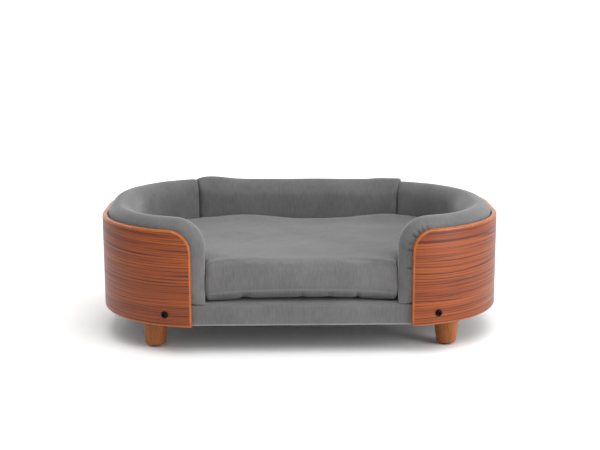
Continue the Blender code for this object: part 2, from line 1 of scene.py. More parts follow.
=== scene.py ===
"""Looks of the dog bed with a bent plywood shell: veneer, upholstery and cushions.

The file is laid out as a Blender add-on and is run as a script.  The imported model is
loaded as a fixed frame, and each operator makes one piece, or one group of like pieces,
round it.  Metres, +Z up; the open front of the bed faces -Y.
"""

import math

import bmesh
import bpy
import numpy as np
from bpy.props import FloatProperty, FloatVectorProperty, IntProperty, PointerProperty
from mathutils import Matrix, Vector, noise


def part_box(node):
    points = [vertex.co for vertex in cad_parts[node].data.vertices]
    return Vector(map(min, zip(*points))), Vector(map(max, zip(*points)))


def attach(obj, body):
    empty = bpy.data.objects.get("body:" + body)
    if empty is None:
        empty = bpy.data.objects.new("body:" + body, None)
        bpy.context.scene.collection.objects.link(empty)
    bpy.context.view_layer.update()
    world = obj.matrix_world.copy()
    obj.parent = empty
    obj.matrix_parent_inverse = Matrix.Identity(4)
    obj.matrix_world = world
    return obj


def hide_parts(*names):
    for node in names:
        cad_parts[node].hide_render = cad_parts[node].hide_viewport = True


bl_info = {
    "name": "Dog bed upholstery and veneer",
    "version": (1, 0, 0),
    "blender": (4, 5, 0),
    "location": "View3D > Sidebar > Dog Bed",
    "description": "Builds the visible surfaces of a bent plywood dog bed",
    "category": "Mesh",
}

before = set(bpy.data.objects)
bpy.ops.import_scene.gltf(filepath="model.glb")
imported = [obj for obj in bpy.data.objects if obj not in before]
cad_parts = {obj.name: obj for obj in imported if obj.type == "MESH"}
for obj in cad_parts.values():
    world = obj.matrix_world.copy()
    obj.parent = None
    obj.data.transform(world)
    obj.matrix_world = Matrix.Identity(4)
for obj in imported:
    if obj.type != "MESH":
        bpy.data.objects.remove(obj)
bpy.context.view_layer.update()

# ---------------------------------------------------------------- sizes from the frame
SHELL_LOW, SHELL_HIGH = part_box("bent_shell")
HALF_WIDTH = SHELL_HIGH.x
HALF_DEPTH = SHELL_HIGH.y
BASE_LOW, BASE_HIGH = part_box("base_cover")
SEAT_LOW, SEAT_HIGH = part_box("seat_cushion_cover")
SIDE_LOW, SIDE_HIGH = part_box("right_bolster_cover")
BACK_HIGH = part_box("back_bolster_cover")[1]
SIDES = (("left", -1), ("right", 1))
CORNERS = (
    ("front_left", -1, -1),
    ("front_right", 1, -1),
    ("back_left", -1, 1),
    ("back_right", 1, 1),
)
QUARTER = math.pi / 2
NEAR = 1e-5             # places closer than this count as the same
MEETING_END = 0.1915    # where the bolsters meet on their inner faces, from the middle
MITRE = 0.016           # how far the back bolster tucks behind the side bolsters
PRESSURE = 4.0          # of the cloth simulations
BOLSTER_CAP = 0.003     # how far they may move a bolster's cloth


# ---------------------------------------------------------------- settings
def length(name, description, default):
    return FloatProperty(name=name, description=description, default=default, unit="LENGTH")


def number(name, description, default):
    return FloatProperty(name=name, description=description, default=default)


def colour(name, description, default):
    return FloatVectorProperty(
        name=name, description=description, default=default, size=3, subtype="COLOR",
        min=0.0, max=1.0,
    )


class ShellSettings(bpy.types.PropertyGroup):
    corner_radius: length("Corner radius", "Plan radius of the shell's outer face", 0.185)
    thickness: length("Plywood", "Thickness of the bent plywood", 0.0095)
    front_end: length("Front end", "Distance of a front end from the middle", 0.184)
    front_corner: length("End corner", "Radius of a front end's top corner", 0.038)
    edge_round: length("Edge rounding", "Rounding of the plywood's edges", 0.0029)
    dark: colour("Dark grain", "Darkest streaks of the veneer", (0.062, 0.016, 0.009))
    middle: colour("Grain", "Main colour of the veneer", (0.200, 0.040, 0.010))
    light: colour("Light grain", "Lightest streaks of the veneer", (0.310, 0.072, 0.015))
    edge: colour("Edge", "Lacquered edge of the plywood", (0.400, 0.098, 0.008))


class FabricSettings(bpy.types.PropertyGroup):
    colour: colour("Fabric", "Main colour of the suede twill", (0.118, 0.116, 0.116))
    # The seam colour is a painted highlight: a lighter line where the seams and crests catch the
    # light.
    seam: colour("Seam", "Rubbed seam lines", (0.27, 0.265, 0.265))


class BolsterSettings(bpy.types.PropertyGroup):
    clearance: length("Clearance", "Gap between a bolster and the shell", 0.001)
    thickness: length("Thickness", "Thickness of a bolster", 0.0475)
    front_end: length("Front end", "Crest line of a side bolster's front end", 0.161)
    front_corner: length("End corner", "Radius of the crest line at the front end", 0.0495)
    end_round: length("Meeting ends", "Rounding where two bolsters meet", 0.004)
    foot_round: length("Foot rounding", "Rounding along the bottom", 0.0025)
    left_drop: length("Left drop", "Fall of the left crest towards the back", -0.0035)
    joint_shift: length("Joint shift", "How far the back bolster sits to the right", 0.0015)
    right_drop: length("Right drop", "Fall of the right crest towards the back", 0.0035)


class SeatSettings(bpy.types.PropertyGroup):
    tongue: length("Tongue", "Half the width of the cushion's front", 0.1595)
    voxel: length("Grid", "Size of a simulated cloth face", 0.0048)
    tongue_corner: length("Front corners", "Rounding of the front's corners in plan", 0.007)
    seam_height: length("Seam", "Height of the seam above the cushion's bottom", 0.0150)
    front_lift: length("Front lift", "How far the front's lower edge curls up", 0.0080)
    puff: length("Puff", "Height of the two full back corners", 0.0072)
    corner_rise: length("Corner rise", "How much the front corners are filled out", 0.0022)
    front_fall: length("Front fall", "How much lower the front edge lies", 0.0042)
    back_rise: length("Back rise", "How much higher the back of the cushion lies", 0.0065)
    dip: length("Dip", "Depth of the hollow between the full corners", 0.0010)


class BoltSettings(bpy.types.PropertyGroup):
    angle: number("Place", "Degrees round the plan corner from the front or back", 20.2)
    head: length("Head", "Radius of the button head", 0.006)
    height: length("Head height", "Height of the button head", 0.0036)
    crown: length("Crown", "Rounding of the head's rim", 0.0026)
    shank: length("Shank", "Radius of the shank", 0.003)
    reach: length("Reach", "Length of the shank", 0.020)
    socket: length("Socket", "Radius of the hexagon socket", 0.0023)
    socket_depth: length("Socket depth", "Depth of the hexagon socket", 0.0022)


class LegSettings(bpy.types.PropertyGroup):
    facets: IntProperty(name="Facets", description="Sides of a round piece", default=64)
    foot: length("Foot", "Radius of a leg at the floor", 0.0170)
    light: colour("Light wood", "Light grain of the legs", (0.360, 0.124, 0.034))
    dark: colour("Dark wood", "Dark grain of the legs", (0.175, 0.050, 0.012))


class StageSettings(bpy.types.PropertyGroup):
    floor: colour("Floor", "Floor and backdrop", (0.97, 0.97, 0.97))
    sky: number("Sky", "Strength of the backdrop's light", 1.15)
    front_room: number("Room", "Strength of the light from the room in front", 0.46)
    top_light: number("Top light", "Power of the overhead softbox", 28.0)
    left_light: number("Left light", "Power of the softbox at the front left", 1.0)
    right_light: number("Right light", "Power of the softbox at the right", 23.0)
    back_light: number("Back light", "Power of the light on the backdrop", 70.0)


def settings():
    return bpy.context.scene


# ---------------------------------------------------------------- plan of the shell
def corner_xy():
    radius = settings().bed_shell.corner_radius
    return HALF_WIDTH - radius, HALF_DEPTH - radius


def plan_y(x, depth):
    """Front or back line of the plan, moved in by a depth, at a given x."""
    corner_x, corner_y = corner_xy()
    radius = settings().bed_shell.corner_radius - depth
    past = max(0.0, abs(x) - corner_x)
    return corner_y + math.sqrt(radius * radius - past * past)


def plan_point(along):
    """Point of the shell's outer face, from the length along it: see plan_length."""
    corner_x, corner_y = corner_xy()
    radius = settings().bed_shell.corner_radius
    sign = -1 if along < 0 else 1
    left = abs(along)
    if left < corner_x:
        return sign * left, HALF_DEPTH
    left -= corner_x
    bend = QUARTER * radius
    if left < bend:
        x, y = plan_corner(0.0, 1, left / radius)
        return sign * x, y
    left -= bend
    if left < 2 * corner_y:
        return sign * HALF_WIDTH, corner_y - left
    x, y = plan_corner(0.0, -1, QUARTER - (left - 2 * corner_y) / radius)
    return sign * x, y


def plan_corner(depth, sign_y, angle):
    """Point on a right-hand plan corner; the angle is measured from the front or back."""
    corner_x, corner_y = corner_xy()
    radius = settings().bed_shell.corner_radius - depth
    return corner_x + radius * math.sin(angle), sign_y * (corner_y + radius * math.cos(angle))


def plan_depth(points):
    """How far each point lies inside the shell's outer face, in plan."""
    corner_x, corner_y = corner_xy()
    radius = settings().bed_shell.corner_radius
    over_x = np.maximum(np.abs(points[:, 0]) - corner_x, 0.0)
    over_y = np.maximum(np.abs(points[:, 1]) - corner_y, 0.0)
    return radius - np.hypot(over_x, over_y)


def plan_inward(points):
    """Unit direction in plan that leads straight in from the shell."""
    corner_x, corner_y = corner_xy()
    over_x = np.maximum(np.abs(points[:, 0]) - corner_x, 0.0) * np.sign(points[:, 0])
    over_y = np.maximum(np.abs(points[:, 1]) - corner_y, 0.0) * np.sign(points[:, 1])
    size = np.maximum(np.hypot(over_x, over_y), 1e-9)
    return np.stack([-over_x / size, -over_y / size, np.zeros(len(points))], 1)


def plan_length(points):
    """Length along the shell from the middle of its back, positive to the right."""
    corner_x, corner_y = corner_xy()
    radius = settings().bed_shell.corner_radius
    x = np.abs(points[:, 0])
    y = points[:, 1]
    over_x = np.maximum(x - corner_x, 0.0)
    over_y = np.maximum(np.abs(y) - corner_y, 0.0)
    turn = np.arctan2(over_x, np.maximum(over_y, 1e-9))
    side_y = np.clip(y, -corner_y, corner_y)
    along = np.minimum(x, corner_x) + turn * radius
    after_side = corner_x + QUARTER * radius + (corner_y - side_y)
    front = corner_x + math.pi * radius + 2 * corner_y - turn * radius
    front = front + (corner_x - np.minimum(x, corner_x))
    along = np.where(y < corner_y, after_side, along)
    along = np.where(y < -corner_y, front, along)
    return along * np.where(points[:, 0] < 0, -1.0, 1.0)


# ---------------------------------------------------------------- object helpers
def deselect_all():
    bpy.ops.object.select_all(action="DESELECT")


def take(obj):
    """Makes obj the only selected object, and the active one."""
    deselect_all()
    obj.select_set(True)
    bpy.context.view_layer.objects.active = obj


def named(name):
    obj = bpy.context.object
    obj.name = name
    obj.data.name = name
    return obj


def add_mesh_object(name, mesh):
    obj = bpy.data.objects.new(name, mesh)
    bpy.context.scene.collection.objects.link(obj)
    return obj


def edit(obj):
    take(obj)
    bpy.ops.object.mode_set(mode="EDIT")


def leave_edit():
    bpy.ops.object.mode_set(mode="OBJECT")


def pick(kind, test):
    """Selects the edit mesh's vertices, edges or faces whose middle passes a test."""
    bpy.ops.mesh.select_mode(type=kind)
    bpy.ops.mesh.select_all(action="DESELECT")
    mesh = bpy.context.object.data
    bm = bmesh.from_edit_mesh(mesh)
    for vert in bm.verts if kind == "VERT" else ():
        vert.select = test(vert.co)
    for edge in bm.edges if kind == "EDGE" else ():
        edge.select = test((edge.verts[0].co + edge.verts[1].co) / 2, edge)
    for face in bm.faces if kind == "FACE" else ():
        face.select = test(face.calc_center_median(), face)
    bm.select_flush_mode()
    bmesh.update_edit_mesh(mesh)


def pick_rim(height, side):
    """Selects the edges at a height; side is 1 for a piece's top and -1 for its bottom."""
    pick(
        "EDGE",
        lambda middle, edge: all(side * (v.co.z - height) > -NEAR for v in edge.verts),
    )


def pick_all():
    bpy.ops.mesh.select_all(action="SELECT")


def round_edges(offset, segments, **more):
    bpy.ops.mesh.bevel(offset=offset, segments=segments, profile=0.5, affect="EDGES", **more)


def slice_through(place, normal):
    """Cuts the whole edit mesh along a plane."""
    pick_all()
    bpy.ops.mesh.bisect(plane_co=place, plane_no=normal)


def extrude(move):
    bpy.ops.mesh.extrude_region_move(TRANSFORM_OT_translate={"value": move})


def apply_place(obj):
    """Moves the object's place into its mesh."""
    take(obj)
    bpy.ops.object.transform_apply(location=True, rotation=True, scale=True)


def apply_modifiers(obj):
    take(obj)
    for modifier in list(obj.modifiers):
        bpy.ops.object.modifier_apply(modifier=modifier.name)


def smooth_by_angle(obj, degrees):
    take(obj)
    bpy.ops.object.shade_smooth_by_angle(angle=math.radians(degrees))


def subdivide_surface(obj):
    modifier = obj.modifiers.new("smooth", "SUBSURF")
    modifier.levels = modifier.render_levels = 1
    apply_modifiers(obj)


def add_cylinder(name, sides, radius, low, high):
    """An upright cylinder that fills a box's height, in the middle of its plan."""
    deselect_all()
    bpy.ops.mesh.primitive_cylinder_add(
        vertices=sides, radius=radius, depth=high.z - low.z, location=(low + high) / 2
    )
    obj = named(name)
    apply_place(obj)
    return obj


def points_of(mesh):
    points = np.zeros(len(mesh.vertices) * 3)
    mesh.vertices.foreach_get("co", points)
    return points.reshape(-1, 3)


def set_points(mesh, points):
    mesh.vertices.foreach_set("co", points.astype(np.float32).ravel())
    mesh.update()


def normals_of(mesh):
    normals = np.zeros(len(mesh.vertices) * 3)
    mesh.vertex_normals.foreach_get("vector", normals)
    return normals.reshape(-1, 3)


def set_uv(mesh, per_vertex):
    """Writes one UV pair for each vertex into the map named cloth."""
    layer = mesh.uv_layers.get("cloth") or mesh.uv_layers.new(name="cloth")
    corners = np.zeros(len(mesh.loops), np.int32)
    mesh.loops.foreach_get("vertex_index", corners)
    layer.data.foreach_set("uv", per_vertex[corners].astype(np.float32).ravel())


def set_mask(mesh, name, values):
    attribute = mesh.attributes.get(name) or mesh.attributes.new(name, "FLOAT", "POINT")
    attribute.data.foreach_set("value", np.asarray(values, np.float32))


def read_mask(mesh, name):
    values = np.zeros(len(mesh.vertices))
    mesh.attributes[name].data.foreach_get("value", values)
    return values


def bell(values, width):
    """1 at zero, falling to nothing over a few widths."""
    return np.exp(-((values / width) ** 2))


def ripples(values, table):
    """A row of bells; the table gives each one's place, width and depth."""
    return sum(depth * bell(values - place, width) for place, width, depth in table)


def wander(points, scale, seed):
    """Smooth noise from -1 to 1 at each point."""
    shift = Vector((seed * 7.3, seed * 3.1, seed * 5.7))
    return np.array([noise.noise(Vector(p) * scale + shift) for p in points])


def smooth_step(values, low, high):
    share = np.clip((values - low) / (high - low), 0.0, 1.0)
    return share * share * (3 - 2 * share)


def finish_piece(obj, body, slot, materials, *nodes):
    """Gives a finished piece its materials and its body, and hides the CAD nodes that it stands
    for.
    """
    if not obj.data.materials:
        for material in materials:
            obj.data.materials.append(material)
    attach(obj, body)
    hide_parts(*nodes)


# ---------------------------------------------------------------- shader helpers
class Tree:
    """Short ways to add and link shader nodes."""

    def __init__(self, tree):
        self.tree = tree

    def add(self, kind, **values):
        node = self.tree.nodes.new(kind)
        for name, value in values.items():
            if hasattr(node, name):
                setattr(node, name, value)
            else:
                put(node, **{name: value})
        return node

    def link(self, source, target):
        self.tree.links.new(source, target)

    def feed(self, socket, value):
        if isinstance(value, bpy.types.NodeSocket):
            self.link(value, socket)
        else:
            socket.default_value = value

    def maths(self, operation, first, second=0.0):
        node = self.add("ShaderNodeMath", operation=operation)
        self.feed(node.inputs[0], first)
        self.feed(node.inputs[1], second)
        return node.outputs[0]

    def plus(self, first, second):
        return self.maths("ADD", first, second)

    def times(self, first, second):
        return self.maths("MULTIPLY", first, second)

    def ramp(self, value, low, high, start=0.0, stop=1.0):
        node = self.add(
            "ShaderNodeMapRange", interpolation_type="SMOOTHSTEP",
            From_Min=low, From_Max=high, To_Min=start, To_Max=stop,
        )
        self.feed(node.inputs["Value"], value)
        return node.outputs["Result"]

    def mix(self, share, first, second, blend="MIX"):
        node = self.add("ShaderNodeMix", data_type="RGBA", blend_type=blend)
        for socket, value in ((0, share), (6, first), (7, second)):
            self.feed(node.inputs[socket], value)
        return node.outputs[2]

    def parts(self, vector):
        node = self.add("ShaderNodeSeparateXYZ")
        self.link(vector, node.inputs[0])
        return node.outputs

    def stretched(self, vector, scale, shift=(0, 0, 0)):
        node = self.add("ShaderNodeMapping", Scale=scale, Location=shift)
        self.link(vector, node.inputs["Vector"])
        return node.outputs["Vector"]

    def cloud(self, vector, scale, detail=3.0, rough=0.55, distortion=0.0):
        node = self.add(
            "ShaderNodeTexNoise",
            Scale=scale, Detail=detail, Roughness=rough, Distortion=distortion,
        )
        self.link(vector, node.inputs["Vector"])
        return node.outputs["Fac"]

    def streaks(self, vector, scale, detail=2.0, rough=0.55, shift=(0, 0, 0)):
        """Noise stretched along the axes by its three scales."""
        return self.cloud(self.stretched(vector, scale, shift), 1.0, detail, rough)

    def place(self, uv=False):
        """The piece's own cloth map, or its place in the model."""
        if uv:
            return self.add("ShaderNodeUVMap", uv_map="cloth").outputs["UV"]
        return self.add("ShaderNodeTexCoord").outputs["Object"]

    def group(self, tree, vector, **values):
        node = self.add("ShaderNodeGroup")
        node.node_tree = tree
        self.link(vector, node.inputs["Vector"])
        put(node, **values)
        return node


def put(node, **values):
    """Sets a node's sockets by name; an underscore stands for a space."""
    for name, value in values.items():
        node.inputs[name.replace("_", " ")].default_value = value


def rgba(values):
    return (*values, 1.0)


def new_group(name, inputs):
    """An empty shader group that turns a vector into a colour, a roughness and a height."""
    group = bpy.data.node_groups.new(name, "ShaderNodeTree")
    group.interface.new_socket("Vector", in_out="INPUT", socket_type="NodeSocketVector")
    for socket, kind, value in inputs:
        made = group.interface.new_socket(socket, in_out="INPUT", socket_type="NodeSocket" + kind)
        made.default_value = value
    for socket, kind in (("Color", "Color"), ("Roughness", "Float"), ("Height", "Float")):
        group.interface.new_socket(socket, in_out="OUTPUT", socket_type="NodeSocket" + kind)
    tree = Tree(group)
    return tree, tree.add("NodeGroupInput").outputs, tree.add("NodeGroupOutput").inputs


# dark streaks of the veneer: (spacing, width as a share of it, start of the pattern)
VEINS = ((0.0077, 0.15, 0.0), (0.0049, 0.12, 7.7), (0.0160, 0.07, 3.9))


def grain_group():
    """Streaky veneer or turned wood; the grain runs along the vector's first axis."""
    if "wood grain" in bpy.data.node_groups:
        return bpy.data.node_groups["wood grain"]
    tree, given, out = new_group(
        "wood grain",
        (
            ("Dark", "Color", (0.05, 0.02, 0.02, 1)),
            ("Middle", "Color", (0.3, 0.1, 0.04, 1)),
            ("Light", "Color", (0.5, 0.2, 0.08, 1)),
            ("Streak", "Float", 0.8),
        ),
    )
    vector = given["Vector"]
    bend = tree.streaks(vector, (3.1, 11.0, 11.0), 1.0)
    lift = tree.times(tree.maths("SUBTRACT", bend, 0.5), 0.014)
    along, up, deep = tree.parts(vector)
    joined = tree.add("ShaderNodeCombineXYZ")
    tree.link(along, joined.inputs[0])
    tree.link(tree.plus(up, lift), joined.inputs[1])
    tree.link(deep, joined.inputs[2])
    bent = joined.outputs[0]
    bands = tree.streaks(bent, (1.5, 62.0, 62.0), 2.0, 0.5)
    lines = tree.streaks(bent, (3.0, 520.0, 520.0), 2.0, 0.6, (3.1, 1.7, 0))
    pores = tree.streaks(vector, (70.0, 1500.0, 1500.0), 2.0, 0.5)
    base = tree.mix(tree.ramp(bands, 0.30, 0.70), given["Middle"], given["Light"])
    thin = tree.times(tree.ramp(lines, 0.48, 0.64), 0.50)
    veined = tree.mix(thin, base, given["Dark"])
    across = tree.plus(tree.plus(up, lift), deep)
    for spacing, width, start in VEINS:
        crowd = tree.streaks(bent, (0.9, 30.0, 30.0), 1.0, shift=(start, start, 0))
        phase = tree.plus(tree.maths("DIVIDE", across, spacing), start)
        phase = tree.maths("FRACT", tree.plus(phase, tree.times(crowd, 3.4)))
        away = tree.maths("ABSOLUTE", tree.maths("SUBTRACT", phase, 0.5))
        fleck = tree.streaks(bent, (6.0, 90.0, 90.0), shift=(start + 1.9, 4.0, 0))
        vein = tree.times(
            tree.ramp(away, 0.25 * width, width, 1.0, 0.0), tree.ramp(fleck, 0.36, 0.62)
        )
        veined = tree.mix(tree.times(vein, given["Streak"]), veined, given["Dark"])
    pored = tree.mix(tree.ramp(pores, 0.58, 0.75, 0.0, 0.30), veined, given["Dark"])
    tree.link(pored, out["Color"])
    tree.link(tree.ramp(lines, 0.3, 0.7, 0.34, 0.44), out["Roughness"])
    tree.link(tree.maths("SUBTRACT", lines, tree.ramp(pores, 0.5, 0.8)), out["Height"])
    return tree.tree


def suede_group():
    """Brushed suede twill: soft nap, upright slubs and a fine weave, in cloth metres, with a
    painted highlight mixed in along the seams.
    """
    if "suede twill" in bpy.data.node_groups:
        return bpy.data.node_groups["suede twill"]
    tree, given, out = new_group(
        "suede twill",
        (
            ("Colour", "Color", (0.2, 0.2, 0.2, 1)),
            ("Seam Colour", "Color", (0.4, 0.4, 0.4, 1)),
            # the Seam input is the mask of the painted highlight along the seams
            ("Seam", "Float", 0.0),
        ),
    )
    vector = given["Vector"]
    nap = tree.cloud(vector, 14.0, 3.0, 0.6, 0.3)
    slubs = tree.streaks(vector, (330.0, 46.0, 90.0), 3.0, 0.6)
    threads = tree.streaks(vector, (620.0, 90.0, 100.0), 2.0, 0.6)
    along, up, _ = tree.parts(vector)
    twill = tree.maths("SINE", tree.times(tree.plus(along, up), 4200.0))
    cross = tree.maths("SINE", tree.times(along, 5200.0))
    weave = tree.times(tree.plus(twill, cross), 0.25)
    shade = tree.plus(tree.ramp(nap, 0.25, 0.75, 0.88, 1.12), -1.0)
    shade = tree.plus(shade, tree.ramp(slubs, 0.25, 0.75, -0.095, 0.105))
    shade = tree.plus(shade, tree.ramp(threads, 0.25, 0.75, -0.06, 0.06))
    value = tree.plus(tree.plus(shade, tree.times(weave, 0.06)), 1.0)
    grey = tree.add("ShaderNodeCombineColor")
    for socket in grey.inputs:
        tree.link(value, socket)
    toned = tree.mix(1.0, given["Colour"], grey.outputs[0], "MULTIPLY")
    # Where the Seam mask is set, the colour turns to the painted highlight colour.
    tree.link(tree.mix(given["Seam"], toned, given["Seam Colour"]), out["Color"])
    tree.link(tree.ramp(nap, 0.2, 0.8, 0.82, 0.95), out["Roughness"])
    height = tree.plus(tree.times(slubs, 0.8), weave)
    tree.link(tree.plus(height, tree.times(threads, 0.6)), out["Height"])
    return tree.tree


def new_material(name):
    material = bpy.data.materials.new(name)
    material.use_nodes = True
    return material, Tree(material.node_tree), material.node_tree.nodes["Principled BSDF"]


def bump(tree, shader, height, strength, distance):
    node = tree.add("ShaderNodeBump", Strength=strength, Distance=distance)
    tree.link(height, node.inputs["Height"])
    tree.link(node.outputs["Normal"], shader.inputs["Normal"])


def wear(tree, shader, group, **values):
    """Covers the surface with a shader group's colour and roughness."""
    tree.link(group.outputs["Color"], shader.inputs["Base Color"])
    tree.link(group.outputs["Roughness"], shader.inputs["Roughness"])
    put(shader, **values)


def wood_material(name, tones, streak, gloss, turned=False, uv=False):
    """Wood in a dark, a middle and a light tone; turned pieces have their grain along Z."""
    if name in bpy.data.materials:
        return bpy.data.materials[name]
    material, tree, shader = new_material(name)
    mapping = tree.add("ShaderNodeMapping", Rotation=(0.0, QUARTER * turned, 0.0))
    tree.link(tree.place(uv), mapping.inputs["Vector"])
    dark, middle, light = (rgba(tone) for tone in tones)
    grain = tree.group(
        grain_group(), mapping.outputs["Vector"],
        Dark=dark, Middle=middle, Light=light, Streak=streak,
    )
    wear(tree, shader, grain, Specular_IOR_Level=gloss)
    bump(tree, shader, grain.outputs["Height"], 0.12, 0.0004)
    return material


def veneer_material():
    shell = settings().bed_shell
    tones = (shell.dark, shell.middle, shell.light)
    return wood_material("rosewood veneer", tones, 1.0, 0.25, uv=True)


def edge_material():
    """Lacquered plywood edge, with its plies just showing."""
    if "lacquered edge" in bpy.data.materials:
        return bpy.data.materials["lacquered edge"]
    material, tree, shader = new_material("lacquered edge")
    cloud = tree.cloud(tree.place(), 60.0, 3.0)
    edge = settings().bed_shell.edge
    deep = tuple(0.72 * value for value in edge)
    toned = tree.mix(tree.ramp(cloud, 0.3, 0.7), rgba(edge), rgba(deep))
    tree.link(toned, shader.inputs["Base Color"])
    tree.link(tree.ramp(cloud, 0.2, 0.8, 0.24, 0.36), shader.inputs["Roughness"])
    put(shader, Specular_IOR_Level=0.45)
    return material


def leg_material():
    legs = settings().bed_legs
    middle = tuple((a + b) / 2 for a, b in zip(legs.light, legs.dark))
    tones = (legs.dark, middle, legs.light)
    return wood_material("turned leg", tones, 0.45, 0.2, turned=True)


def plywood_material():
    tones = ((0.36, 0.23, 0.12), (0.55, 0.40, 0.24), (0.66, 0.52, 0.34))
    return wood_material("bare plywood", tones, 0.35, 0.2)


def fabric_material():
    name = "grey suede twill"
    if name in bpy.data.materials:
        return bpy.data.materials[name]
    material, tree, shader = new_material(name)
    fabric = settings().bed_fabric
    suede = tree.group(
        suede_group(), tree.place(uv=True),
        Colour=rgba(fabric.colour), Seam_Colour=rgba(fabric.seam),
    )
    # This attribute holds the mask of the painted highlight along the seams and crests.
    seam = tree.add("ShaderNodeAttribute", attribute_name="seam")
    tree.link(seam.outputs["Fac"], suede.inputs["Seam"])
    wear(
        tree, shader, suede,
        Specular_IOR_Level=0.25, Sheen_Weight=0.30, Sheen_Roughness=0.45,
    )
    bump(tree, shader, suede.outputs["Height"], 0.35, 0.0005)
    return material


def plain_material(name, base, roughness, metallic=0.0, cloud_scale=80.0, contrast=0.25):
    """A plain finish whose tone and gloss drift a little over the surface."""
    if name in bpy.data.materials:
        return bpy.data.materials[name]
    material, tree, shader = new_material(name)
    cloud = tree.cloud(tree.place(), cloud_scale, 4.0, 0.6)
    darker = tuple((1 - contrast) * value for value in base)
    toned = tree.mix(tree.ramp(cloud, 0.3, 0.7), rgba(base), rgba(darker))
    tree.link(toned, shader.inputs["Base Color"])
    low, high = roughness * 0.8, min(1.0, roughness * 1.2)
    tree.link(tree.ramp(cloud, 0.25, 0.75, low, high), shader.inputs["Roughness"])
    put(shader, Metallic=metallic)
    bump(tree, shader, cloud, 0.1, 0.0003)
    return material


def repaint(obj, material):
    obj.data.materials.clear()
    obj.data.materials.append(material)


# ---------------------------------------------------------------- cloth simulation
def blow_up(obj, frames, cap, pins):
    """Lets cloth pressure fill a closed cage, and moves no point further than a cap."""
    before = points_of(obj.data)
    cloth = obj.modifiers.new("cloth", "CLOTH")
    cloth.point_cache.frame_start = 1
    cloth.point_cache.frame_end = frames
    values = cloth.settings
    values.quality = 5
    values.mass = 0.2
    values.tension_stiffness = values.compression_stiffness = 15
    values.shear_stiffness = 5
    values.bending_stiffness = 0.3
    values.air_damping = 2
    values.use_pressure = True
    values.uniform_pressure_force = PRESSURE
    values.effector_weights.gravity = 0.0
    cloth.collision_settings.use_self_collision = False
    group = obj.vertex_groups.new(name="pinned")
    group.add(pins.tolist(), 1.0, "REPLACE")
    values.vertex_group_mass = "pinned"
    for step in range(1, frames + 1):
        bpy.context.scene.frame_set(step)
    after = points_of(obj.evaluated_get(bpy.context.evaluated_depsgraph_get()).data)
    obj.modifiers.remove(cloth)
    obj.vertex_groups.clear()
    bpy.context.scene.frame_set(1)
    move = after - before
    size = np.maximum(np.linalg.norm(move, axis=1, keepdims=True), 1e-9)
    move = move / size * cap * np.tanh(size / cap)
    set_points(obj.data, before + move)


# ---------------------------------------------------------------- stage
CAMERA_PLACE = (-0.0384, -2.1476, 0.6275)
LENS = 72.29            # millimetres, on a 36 mm wide sensor
HEADING = -1.05         # degrees to the right of straight back
TILT = 11.783           # degrees down from level
ROLL = -0.135           # degrees


class DOGBED_OT_stage(bpy.types.Operator):
    """Adds the pale floor, the soft studio lights and the camera"""

    bl_idname = "dogbed.stage"
    bl_label = "Stage"

    def execute(self, context):
        stage = settings().bed_stage
        deselect_all()
        bpy.ops.mesh.primitive_plane_add(size=9.0, location=(0.0, 0.1, -0.0005))
        floor = named("floor")
        apply_place(floor)
        material, _, shader = new_material("paper floor")
        put(shader, Base_Color=rgba(stage.floor), Roughness=0.9, Specular_IOR_Level=0.1)
        floor.data.materials.append(material)

        world = context.scene.world or bpy.data.worlds.new("studio")
        context.scene.world = world
        world.use_nodes = True
        self.surroundings(world, stage)

        for name, place, aim, size, power in (
            ("top", (0.10, -1.10, 1.9), (0, 0, 0.1), 1.6, stage.top_light),
            ("left", (-1.5, -1.7, 1.1), (0, 0, 0.1), 1.0, stage.left_light),
            ("right", (1.8, -1.15, 0.6), (0, 0, 0.1), 1.1, stage.right_light),
            ("backdrop", (0.0, 2.9, 1.7), (0, 3.5, 0), 2.6, stage.back_light),
        ):
            self.softbox(name + "_softbox", place, aim, size, power)
        self.camera(context)
        context.scene.view_settings.view_transform = "Standard"
        return {"FINISHED"}

    @staticmethod
    def surroundings(world, stage):
        """A white backdrop in view, and a room that is darker on the front side."""
        tree = Tree(world.node_tree)
        background = world.node_tree.nodes["Background"]
        put(background, Color=(1.0, 1.0, 1.0, 1.0))
        ray = tree.add("ShaderNodeLightPath")
        place = tree.add("ShaderNodeTexCoord").outputs["Generated"]
        right, back, _ = tree.parts(place)
        heading = tree.plus(back, tree.times(right, 0.60))
        room = tree.ramp(heading, -0.7, 0.6, stage.front_room, stage.sky)
        seen = tree.maths("MAXIMUM", room, tree.times(ray.outputs[0], 1.05))
        tree.link(seen, background.inputs["Strength"])

    @staticmethod
    def softbox(name, place, aim, size, power):
        light = bpy.data.lights.new(name, "AREA")
        light.shape = "SQUARE"
        light.size = size
        light.energy = power
        obj = bpy.data.objects.new(name, light)
        obj.location = place
        direction = Vector(aim) - Vector(place)
        obj.rotation_euler = direction.to_track_quat("-Z", "Y").to_euler()
        obj.visible_camera = False
        bpy.context.scene.collection.objects.link(obj)

    @staticmethod
    def camera(context):
        """A long lens, a little above the bed and almost straight in front of it."""
        data = bpy.data.cameras.new("camera")
        data.sensor_width = 36.0
        data.lens = LENS
        camera = bpy.data.objects.new("camera", data)
        place = Matrix.Translation(CAMERA_PLACE)
        heading = Matrix.Rotation(math.radians(HEADING), 4, "Z")
        tilt = Matrix.Rotation(QUARTER - math.radians(TILT), 4, "X")
        roll = Matrix.Rotation(math.radians(ROLL), 4, "Z")
        camera.matrix_world = place @ heading @ tilt @ roll
        context.scene.collection.objects.link(camera)
        context.scene.camera = camera


